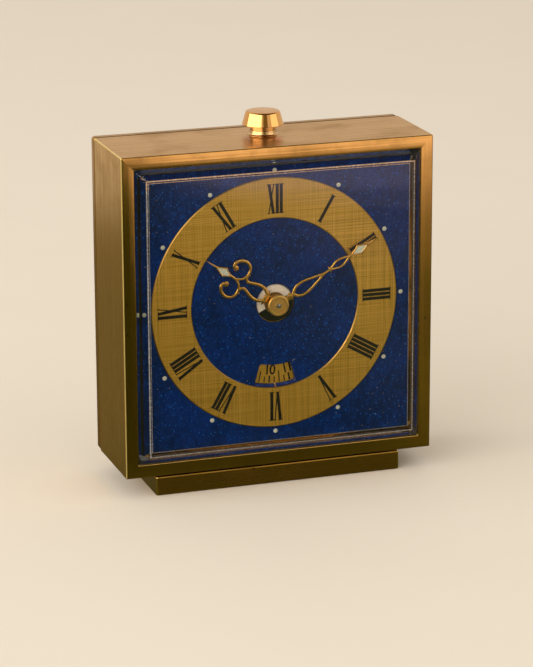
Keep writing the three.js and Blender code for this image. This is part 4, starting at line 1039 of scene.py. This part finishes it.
scroll = spline([(11.9, 0.1), (11.15, 0.5), (10.5, 1.1), (10.1, 1.95), (10.05, 2.9), (10.4, 3.8), (11.2, 4.45), (12.15, 4.65), (13.1, 4.42), (13.85, 3.85), (14.25, 3.1), (14.1, 2.4)], 6)
h_arm = spline([(10.05, 2.0), (9.78, 1.25), (9.2, 0.9), (8.4, 1.05), (7.5, 1.4), (6.4, 1.68), (5.3, 1.72), (4.35, 1.48), (3.55, 0.95), (2.6, 0.3)], 6)
h_kite = mirrored(spline([(11.5, 0.3), (12.4, 0.26), (13.5, 0.32), (14.3, 0.55), (14.9, 0.87), (15.35, 1.24)], 4)[:-1] + [(15.35, 1.24)] + spline([(15.45, 1.19), (16.3, 0.8), (17.2, 0.45), (18.0, 0.25), (19.2, 0.15), (20.7, 0.05)], 4))
h_win = mirrored([(13.9, 0.04), (14.35, 0.24), (14.95, 0.53), (15.42, 0.84), (16.5, 0.42), (17.3, 0.05)])


def hour_field(U, Vv):
    A = np.abs(Vv)
    d = sunion(
        sd_poly(U, Vv, h_kite),
        sd_stroke(U, A, scroll, 0.55, 0.84),
        sd_disc(U, A, (13.5, 2.15), 0.66),
        sd_stroke(U, A, h_arm, 0.68, 0.80),
        sd_poly(U, A, [(10.2, 2.0), (10.1, 2.75), (9.3, 2.42)]),
        sd_poly(U, A, [(2.4, 0.5), (3.75, 1.0), (3.25, 1.95), (2.9, 1.2)]),
        sd_disc(U, Vv, (0, 0), 2.3),
        sd_poly(U, Vv, mirrored([(1.2, 0.8), (3.4, 0.95), (3.9, 0.3)])),
        k=0.10)
    d = np.maximum(d, -sd_poly(U, Vv, h_win))
    return np.maximum(d, -sd_disc(U, Vv, (0, 0), 1.85))


small = spline([(20.2, 0.1), (19.0, 0.58), (18.0, 0.85), (16.9, 0.82), (15.95, 0.46), (15.0, 0.1)], 6)
big = spline([(12.9, 0.1), (11.4, 0.53), (9.9, 0.94), (8.35, 1.34), (7.0, 1.45), (5.9, 1.26), (5.1, 0.77), (4.5, 0.1)], 6)
m_kite = mirrored([(19.8, 0.3), (20.3, 0.27), (21.2, 0.36), (22.0, 0.62), (22.6, 0.94), (23.15, 1.33), (24.0, 0.9), (25.0, 0.58), (26.0, 0.4), (27.0, 0.22), (28.15, 0.05)])
m_win = mirrored([(21.5, 0.05), (21.9, 0.22), (22.5, 0.54), (23.15, 0.92), (24.1, 0.48), (25.1, 0.05)])


def minute_field(U, Vv):
    A = np.abs(Vv)
    d = sunion(
        sd_poly(U, Vv, m_kite),
        sd_stroke(U, A, small, 0.50, 0.50),
        sd_poly(U, Vv, mirrored([(14.5, 0.12), (14.62, 0.9), (14.72, 0.98), (14.95, 0.5), (15.15, 0.3)])),
        sd_poly(U, Vv, mirrored([(12.4, 0.3), (15.2, 0.26)])),
        sd_stroke(U, A, big, 0.56, 0.70),
        sd_poly(U, Vv, mirrored([(1.5, 0.8), (3.4, 0.6), (3.5, 1.02), (3.8, 1.02), (4.0, 0.55), (4.9, 0.3)])),
        sd_disc(U, Vv, (0, 0), 2.35),
        k=0.10)
    d = np.maximum(d, -sd_poly(U, Vv, m_win))
    return np.maximum(d, -sd_disc(U, Vv, (0, 0), 0.76))


def hand_box(deg, reach, half):
    cs = [clockpt(deg, u, v) for u in (-3.2, reach) for v in (-half, half)]
    return (min(c[0] for c in cs), max(c[0] for c in cs), min(c[1] for c in cs), max(c[1] for c in cs))


HY, MY, HT = 2.8, 2.1, 0.25
v, f = fret(world_field(HOUR, hour_field), hand_box(HOUR, 21.2, 5.6), 0.05, [(0.0, HY + 0.11), (0.045, HY + 0.05), (0.11, HY + 0.012), (0.18, HY)], HY + HT)
build("hour_hand_fret", v, f, m_hand, "hour", "polished_gilt", ("hour_hand",), 50)
v, f = fret(world_field(MINUTE, minute_field), hand_box(MINUTE, 28.6, 2.6), 0.05, [(0.0, MY + 0.11), (0.045, MY + 0.05), (0.11, MY + 0.012), (0.18, MY)], MY + HT)
build("minute_hand_fret", v, f, m_hand, "minute", "polished_gilt", ("minute_hand",), 50)


def grown(pts, g):
    c = Vector((sum(p[0] for p in pts) / len(pts), sum(p[1] for p in pts) / len(pts)))
    return [tuple(c + (Vector(p) - c) * (1 + g)) for p in pts]


for nm, deg, pts, y, body in (("hour_lume", HOUR, h_win, HY, "hour"), ("minute_lume", MINUTE, m_win, MY, "minute")):
    flat = region([[clockpt(deg, u, w) for u, w in grown(pts, 0.05)]])
    build(nm, *slab(flat, y + 0.09, y + 0.22), m_lume, body, None, (), 40)

# cap over the hands: nearly flat, with a turned groove and a rounded rim
cap = [(0.76, 1.90), (0.76, 1.495), (0.57, 1.495), (0.57, 1.46), (0.60, 1.445), (0.74, 1.445), (0.79, 1.475), (1.20, 1.478), (1.58, 1.475), (1.60, 1.62), (1.72, 1.62), (1.74, 1.465), (2.16, 1.435), (2.30, 1.445), (2.41, 1.49), (2.48, 1.57), (2.5, 1.68), (2.5, 2.04), (2.46, 2.07), (0.76, 2.07)]
v, f = lathe(cap, 96, closed=True)
build("centre_cap", v, f, m_cap, "minute", "polished_gilt", ("hand_cap",), 24)

# ------------------------------------------------------------------ button and collar
# the cap is hollow below, so that it passes over the flared collar when it is pressed
zt = HH
btn = [(0, 26.55), (0.8, 26.55), (0.8, 28.5), (2.2, 28.5), (2.2, zt - 3.2), (2.93, zt - 3.2), (2.93, zt + 3.38), (2.97, zt + 3.50), (3.06, zt + 3.55), (3.95, zt + 3.55), (4.12, zt + 3.46), (4.19, zt + 3.30), (4.38, zt + 2.44), (4.44, zt + 2.38), (4.66, zt + 2.38), (4.79, zt + 2.44), (4.83, zt + 2.58),
       (4.06, zt + 5.20), (3.98, zt + 5.39), (3.82, zt + 5.50), (3.55, zt + 5.57), (3.2, zt + 5.6), (0, zt + 5.6)]
v, f = lathe(btn, 96, "z", (BX, BY))
n_s = 96
button = build("push_button", v, f, [m_gilt, m_giltop, m_neck_painted_shade], "button", "polished_gilt", ("alarm_button",), 38)
# Faces of the neck under the cap take the darker neck gilt, a painted shade.
for pl in button.data.polygons:
    pl.material_index = 1 if pl.normal.z > 0.93 and pl.center.z > (zt + 5 + ZD) * 1e-3 else 2 if math.hypot(pl.center.x - BX * 1e-3, pl.center.y - (BY - YM) * 1e-3) < 3.1e-3 else 0
col = [(3.0, zt - 2.4), (3.36, zt - 2.4), (3.36, zt - 0.004), (3.47, zt - 0.004), (3.52, zt + 0.03), (3.52, zt + 0.10), (3.43, zt + 0.16), (3.31, zt + 0.26), (3.21, zt + 0.42), (3.14, zt + 0.64), (3.10, zt + 0.88), (3.08, zt + 1.12), (3.05, zt + 1.16), (3.0, zt + 1.12)]
v, f = lathe(col, 96, "z", (BX, BY), closed=True)
build("neck_collar", v, f, m_neck_painted_shade, "case", "polished_gilt", ("button_collar",), 40)

# ------------------------------------------------------------------ foot
FW, zb = 30.1, -HH - 0.6
z0 = zb - 4.6


def block(x1, y0, y1, za, zb_, e):
    """A bar with rounded arrises: outlines in x-y, stacked in z, with rounded upright corners."""
    cx, cy, hx, hy = 0.0, (y0 + y1) / 2, x1, (y1 - y0) / 2
    lv = []
    for d, z in ((e, za), (e * 0.3, za + e * 0.3), (0, za + e), (0, zb_ - e), (e * 0.3, zb_ - e * 0.3), (e, zb_)):
        lv.append((z, rr(hx - d, hy - d, max(e - d, 0.05) + 0.05, 3, cx, cy)))
    return loft(lv, axis="z")


v, f = block(FW, 1.0, 22.0, z0, zb, 0.42)
pad_v, pad_f = loft([(zb - 0.5, rr(27, 8.4, 0.2, 2, 0, 11.6)), (-HH - 0.03, rr(27, 8.4, 0.2, 2, 0, 11.6))], axis="z")
cut = []
for x in (-20, 20):
    cut += [tool(*cyl(2.9, z0 - 1, z0 + 2.2, 40, "z", (x, 11.5))), tool(*cyl(1.35, z0 + 1, zb + 2, 24, "z", (x, 11.5)))]
foot = build("foot_block", v, f, [m_foot, m_edge], "case", "satin_brass", ("foot_plate",), 40, True, None, cut)
for pl in foot.data.polygons:
    if abs(pl.center.x) > (FW - 0.42) * 1e-3 and pl.center.y < (1.42 - YM) * 1e-3:
        pl.material_index = 1
build("foot_spacer", pad_v, pad_f, m_gasket, "case", "satin_brass", (), 40, False, None, [tool(*cyl(1.35, zb - 2, zb + 2, 24, "z", (x, 11.5))) for x in (-20, 20)])
for i, x in enumerate((-20, 20)):
    prof = soften([(0, z0 + 0.5), (2.6, z0 + 0.5), (2.6, z0 + 2.15), (1.2, z0 + 2.15), (1.2, -HH + 3.3), (0, -HH + 3.3)], {1: 0.25, 2: 0.1})
    v, f = lathe(prof, 40, "z", (x, 11.5))
    sl = tool(*loft([(z0 - 0.5, rr(3.2, 0.24, 0.02, 1, x, 11.5)), (z0 + 1.1, rr(3.2, 0.24, 0.02, 1, x, 11.5))], axis="z"))
    build(f"foot_screw_{i + 1}", v, f, m_screw, "case", "polished_gilt", ("foot_screw_right" if i else "foot_screw_left",), 35, False, None, [sl])

# ------------------------------------------------------------------ rear cover and what comes through it
C0, C1 = 22.8, 25.4
lv = [(C0, rr(HW - 0.5, HH - 0.5, 0.45, 8)), (C0 + 0.10, rr(HW - 0.30, HH - 0.30, 0.6, 8)), (C0 + 0.22, rr(HW - 0.05, HH - 0.05, 0.75, 8)), (C0 + 0.30, rr(HW, HH, 0.8, 8)), (C0 + 2.06, rr(HW, HH, 0.8, 8)),
      (C0 + 2.26, rr(HW - 0.05, HH - 0.05, 0.8, 8)), (C0 + 2.46, rr(HW - 0.18, HH - 0.18, 0.75, 8)), (C1, rr(HW - 0.40, HH - 0.40, 0.6, 8))]
inner = [(C1 - 1.2, rr(HW - 1.8, HH - 1.8, 0.4, 8)), (C0, rr(HW - 1.8, HH - 1.8, 0.4, 8))]
v, f = loft(lv)
cut = [tool(*loft([(C0 - 1, rr(HW - 1.8, HH - 1.8, 0.4, 3)), (C1 - 1.2, rr(HW - 1.8, HH - 1.8, 0.4, 3))]))]
cut += [tool(*lathe([(0, 20), (1.15, 20), (1.15, 24.2), (2.35, 25.45), (2.35, 27), (0, 27)], 40, "y", p)) for p in SCREWS]
cut += [tool(*lathe([(0, 20), (r, 20), (r, 25.15), (r + 0.35, 25.5), (r + 0.35, 27), (0, 27)], 48, "y", p)) for r, p in ((1.2, (0, 0)), (1.2, SA), (1.9, TB), (1.9, AB))]
RG = 8.5
so = [(BAL[0] + (RG + 0.85) * math.cos(a * D2R), BAL[1] + (RG + 0.85) * math.sin(a * D2R)) for a in np.linspace(21, 69, 17)]
si = [(BAL[0] + (RG - 0.85) * math.cos(a * D2R), BAL[1] + (RG - 0.85) * math.sin(a * D2R)) for a in np.linspace(69, 21, 17)]
cut.append(tool(*loft([(20, so + si), (27, so + si)])))
cover = build("back_cover", v, f, [m_back, m_rim, m_arris_wear_and_highlight, m_shade_dark], "case", "satin_brass", ("rear_cover",), 40, True, None, cut)
# On the cover's outer edge, the front lip in the seam is near-black as painted shade, and the side band takes the
# darker rim brass. The rear rounding takes the bright arris brass, partly wear and partly painted highlight.
for pl in cover.data.polygons:
    c = pl.center
    if abs(c.x) > (HW - 0.6) * 1e-3 or abs(c.z - ZD * 1e-3) > (HH - 0.6) * 1e-3:
        pl.material_index = 3 if c.y < (C0 + 0.1 - YM) * 1e-3 else 1 if c.y < (C0 + 2.1 - YM) * 1e-3 else 2

for i, p in enumerate(SCREWS):
    prof = soften([(0, 17.0), (1.0, 17.0), (1.0, 24.2), (2.1, 25.22), (1.95, 25.33), (0, 25.36)], {3: 0.06, 4: 0.08})
    prof = [(r, min(y, 25.3)) for r, y in prof]
    v, f = lathe(prof, 40, "y", p)
    sl = tool(*loft([(24.8, rr(2.6, 0.22, 0.02, 1, *p)), (26, rr(2.6, 0.22, 0.02, 1, *p))]))
    build(f"back_screw_{i + 1}", v, f, m_screw, "case", "polished_gilt", (f"cover_screw_{i + 1}",), 35, False, None, [sl])


def knurled(name, r, y0, y1, p, n, body, slot, node):
    """Knob with fine straight knurling, a waist at each end and a slightly hollow top."""
    cols = n * 4
    prof = [(r - 0.55, y0, 0), (r - 0.2, y0 + 0.12, 0), (r - 0.06, y0 + 0.35, 1), (r - 0.02, y0 + 0.6, 1), (r - 0.02, y1 - 0.75, 1), (r - 0.1, y1 - 0.5, 1), (r - 0.35, y1 - 0.2, 0), (r - 0.75, y1 - 0.03, 0), (r - 1.1, y1, 0), (r - 1.45, y1 - 0.05, 0), (1.3, y1 - 0.16, 0), (0.86, y1 - 0.16, 0), (0.86, y0, 0)]
    verts, faces = [], []
    for rad, y, kn in prof:
        for i in range(cols):
            a = 2 * math.pi * i / cols
            g = (0.0, -0.07, -0.2, -0.07)[i % 4] if kn else -0.03
            rrad = rad + (g if kn else 0)
            verts.append((p[0] + rrad * math.cos(a), y, p[1] + rrad * math.sin(a)))
    L = len(prof)
    for s in range(L):
        t = (s + 1) % L
        for i in range(cols):
            j = (i + 1) % cols
            faces.append((s * cols + i, s * cols + j, t * cols + j, t * cols + i))
    return build(name, verts, faces, m_knob, body, slot, (node,), 32)


knurled("time_knob", 4.28, 25.9, 29.6, (0, 0), 40, "minute", "polished_gilt", "time_set_knob")
knurled("alarm_knob", 3.68, 25.9, 29.6, SA, 34, "alarm_setter", "polished_gilt", "alarm_set_knob")
for nm, p, body in (("time_knob_end", (0, 0), "minute"), ("alarm_knob_end", SA, "alarm_setter")):
    v, f = lathe([(0, 29.47), (0.55, 29.47), (0.84, 29.33), (0.84, 28.65), (0, 28.65)], 32, "y", p)
    build(nm, v, f, m_steel, body, "steel")

for pre, p, wbody, bbody in (("time", TB, "time_winder", "time_bow"), ("alarm", AB, "alarm_winder", "alarm_bow")):
    prof = soften([(0, 9.5), (0.85, 9.5), (0.85, 10.5), (1.4, 10.5), (1.4, 25.9), (2.4, 25.9), (2.4, 28.4), (1.9, 28.9), (0, 28.9)], {5: 0.15, 6: 0.2, 7: 0.25})
    v, f = lathe(prof, 48, "y", p)
    build(f"{pre}_key_boss", v, f, m_key, wbody, "steel", (f"{pre}_key_stem",), 35)
    # hinge pin through the bow's ears
    pv = []
    pf = []
    cols = 20
    for x, r in ((-4.3, 0.0), (-4.3, 0.3), (-4.2, 0.45), (4.2, 0.45), (4.3, 0.3), (4.3, 0.0)):
        for i in range(cols):
            a = 2 * math.pi * i / cols
            pv.append((p[0] + x, 27.5 + r * math.cos(a), p[1] + r * math.sin(a)))
    for s in range(5):
        for i in range(cols):
            j = (i + 1) % cols
            pf.append((s * cols + i, s * cols + j, (s + 1) * cols + j, (s + 1) * cols + i))
    build(f"{pre}_key_pin", pv, pf, m_steel, wbody, "steel", (), 35)

    def bow_field(X, Z, p=p):
        u, w = X - p[0], Z - p[1]
        ring = np.abs(np.hypot(u, w + 6.4) - 6.05) - 1.15
        # open towards the stem between the two ears
        gate = sd_poly(u, w, [(-2.75, 3.0), (2.75, 3.0), (2.75, -2.5), (-2.75, -2.5)])
        ears = np.minimum(sd_poly(u, w, [(-4.3, 0.95), (-2.75, 0.95), (-2.75, -2.6), (-4.3, -2.6)]), sd_poly(u, w, [(2.75, 0.95), (4.3, 0.95), (4.3, -2.6), (2.75, -2.6)]))
        tips = np.minimum(sd_disc(u, w, (-3.55, 0.5), 0.78), sd_disc(u, w, (3.55, 0.5), 0.78))
        d = sunion(ring, ears, tips, k=0.35)
        return np.maximum(d, -gate)

    v, f = fret(bow_field, (p[0] - 8.2, p[0] + 8.2, p[1] - 14.6, p[1] + 2.2), 0.1, [(0.0, 27.5 - 0.32), (0.10, 27.5 - 0.56), (0.26, 27.5 - 0.72), (0.5, 27.5 - 0.8)], 27.5, 0.01, both=True)
    build(f"{pre}_key_loop", v, f, m_key, bbody, "polished_gilt", (f"{pre}_key_bow",), 50)

# ------------------------------------------------------------------ carried-over CAD pieces
# The cannon pinion, seen in the hole of the cap, is near-black as painted shade.
looks = {
    "crystal_gasket": m_gasket, "dial_retaining_frame": m_move, "alarm_disc": m_alarm,
    "centre_arbor": m_steel, "cannon_pinion": m_shade_dark, "alarm_set_arbor": m_steel, "time_mainspring": m_steel, "alarm_mainspring": m_steel,
    "escape_wheel": m_steel, "pallet_fork": m_steel, "regulator_lever": m_steel, "hammer_wheel": m_steel, "alarm_hammer": m_steel, "gong": m_steel,
    "alarm_stop_lever": m_steel, "time_ratchet_wheel": m_steel, "alarm_ratchet_wheel": m_steel, "hairspring": m_blued,
}
for name, o in nodes.items():
    if o.hide_render:
        continue
    o.data.materials.clear()
    o.data.materials.append(looks.get(name, m_move))

# ------------------------------------------------------------------ floor, light, camera
fm = Mat("floor_paper", (0.77, 0.735, 0.68), 0.0, 0.9)
_f = fm.noise(fm.mm, 0.02, 3.0, 0.5)
fm.set("Base Color", fm.mix(_f, (0.755, 0.72, 0.665), (0.785, 0.75, 0.695)))


def sheet(name, corners, mat):
    me = bpy.data.meshes.new(name)
    me.from_pydata(corners, [], [tuple(range(len(corners)))])
    me.materials.append(mat)
    o = bpy.data.objects.new(name, me)
    bpy.context.scene.collection.objects.link(o)
    return o


def glow(name):
    m = Mat(name)
    m.t.nodes.clear()
    out = m.new("ShaderNodeOutputMaterial")
    em = m.new("ShaderNodeEmission")
    m.link(em.outputs[0], out.inputs[0])
    tc = m.new("ShaderNodeTexCoord")
    m.mm = m.vmul(tc.outputs["Object"], (1000, 1000, 1000))
    return m, em


def only_reflected(o):
    o.visible_camera = o.visible_diffuse = o.visible_shadow = False
    o.visible_volume_scatter = False


S = 3.0
floor = sheet("floor", [(-S, -S, 0), (S, -S, 0), (S, S, 0), (-S, S, 0)], fm.m)
floor.visible_glossy = floor.visible_transmission = False
# what the polished parts see in place of the floor: a dark table top, brighter beyond its front edge and behind it
tm, em = glow("table_card")
px, py, _z = tm.xyz(tm.mm)


def beyond(y0, x0, slope):
    """Distance beyond a slanting line on the table, through (x0, y0)."""
    return tm.math("ADD", tm.math("MULTIPLY", tm.math("ADD", py, -y0), -1.0), tm.math("MULTIPLY", tm.math("ADD", px, -x0), slope))


front = tm.math("MINIMUM", beyond(-300.0, 90.0, 0.224), beyond(-321.0, 65.7, 0.86))
front = tm.math("ADD", tm.step(beyond(-287.0, 85.8, 0.62), -5.0, 5.0, 0.0, 0.36), tm.step(front, -8.0, 8.0, 0.0, 0.64))
front = tm.math("MULTIPLY", front, tm.step(px, 57.5, 66.0))
front = tm.math("MULTIPLY", front, tm.step(py, -336.0, -324.0, 1.0, 0.44))
rear = tm.step(py, 235.0, 300.0)
near = tm.mix(tm.step(px, 26.0, 62.0), (0.046, 0.053, 0.008), (0.128, 0.128, 0.044))
near = tm.mix(tm.math("MULTIPLY", tm.step(py, -165.0, -225.0), tm.step(px, 60.0, 95.0)), near, (0.27, 0.225, 0.145))
col = tm.mix(tm.step(py, -60.0, 60.0), near, (0.16, 0.145, 0.07))
col = tm.mix(rear, col, (0.74, 0.66, 0.56))
col = tm.mix(front, col, tm.mix(tm.step(px, 52.0, 92.0), (0.50, 0.39, 0.36), (1.30, 1.06, 1.28)))
tm.put(em.inputs[0], col)
card = sheet("table_card", [(-S, -S, -0.0002), (S, -S, -0.0002), (S, S, -0.0002), (-S, S, -0.0002)], tm.m)
only_reflected(card)

# a dark flag in front of the clock, the gap between the soft lights
dm, em = glow("front_flag")
dm.put(em.inputs[0], dm.mix(dm.noise(dm.mm, 0.01), (0.17, 0.135, 0.055), (0.23, 0.18, 0.08)))
R, z0_, z1_ = 0.62, 0.06, 1.1
fl = []
for k in range(7):
    a = (-15 + 25 * k / 6) * D2R
    fl.append((R * math.sin(a), -R * math.cos(a)))
for k in range(6):
    (xa, ya), (xb, yb) = fl[k], fl[k + 1]
    only_reflected(sheet(f"front_flag_{k}", [(xa, ya, z0_), (xb, yb, z0_), (xb, yb, z1_), (xa, ya, z1_)], dm.m))

# dark ceiling high above the table
cm, em = glow("ceiling_card")
cm.put(em.inputs[0], cm.mix(cm.noise(cm.mm, 0.01), (0.05, 0.045, 0.04), (0.07, 0.06, 0.05)))
only_reflected(sheet("ceiling_card", [(-0.9, -1.6, 1.25), (1.6, -1.6, 1.25), (1.6, 0.8, 1.25), (-0.9, 0.8, 1.25)], cm.m))

world = bpy.data.worlds.new("studio")
bpy.context.scene.world = world
world.use_nodes = True
world.node_tree.nodes["Background"].inputs[0].default_value = (0.76, 0.68, 0.57, 1)
world.node_tree.nodes["Background"].inputs[1].default_value = 1.0


def area(name, az, el, dist, sx, sy, power, colour=(1, 0.97, 0.93), aim=(0, 0, 0.045)):
    a, e = az * D2R, el * D2R
    L = bpy.data.lights.new(name, "AREA")
    L.shape, L.size, L.size_y, L.energy, L.color = "RECTANGLE", sx, sy, power, colour
    o = bpy.data.objects.new(name, L)
    d = Vector((math.sin(a) * math.cos(e), -math.cos(a) * math.cos(e), math.sin(e)))
    o.location = Vector(aim) + d * dist
    o.rotation_mode = "QUATERNION"
    o.rotation_quaternion = (-d).to_track_quat("-Z", "Y")
    o.visible_camera = False
    bpy.context.scene.collection.objects.link(o)
    return o


area("key_left", -72, 24, 1.5, 2.7, 1.1, 26, (1, 0.93, 0.82))
area("fill_right", 56, 22, 1.6, 1.3, 1.0, 3.6, (1, 0.84, 0.74))

az, el, roll, dist = -18.417 * D2R, 16.192 * D2R, -0.237 * D2R, 0.685
cam = bpy.data.cameras.new("camera")
cam.sensor_fit, cam.sensor_width = "AUTO", 36.0
cam.lens = 2917.5 / 667 * 36.0
cam.clip_start, cam.clip_end = 0.01, 20
co = bpy.data.objects.new("camera", cam)
back = Vector((math.sin(az) * math.cos(el), -math.cos(az) * math.cos(el), math.sin(el)))
right = Vector((math.cos(az), math.sin(az), 0))
up = back.cross(right).normalized()
r2 = right * math.cos(roll) + up * math.sin(roll)
u2 = up * math.cos(roll) - right * math.sin(roll)
m4 = Matrix((r2, u2, back)).transposed().to_4x4()
m4.translation = Vector((0, -0.00375, 0.03399)) + back * dist
co.matrix_world = m4
bpy.context.scene.collection.objects.link(co)
bpy.context.scene.camera = co

bpy.context.scene.view_settings.view_transform = "Standard"
bpy.context.scene.view_settings.look = "None"

bpy.context.view_layer.update()
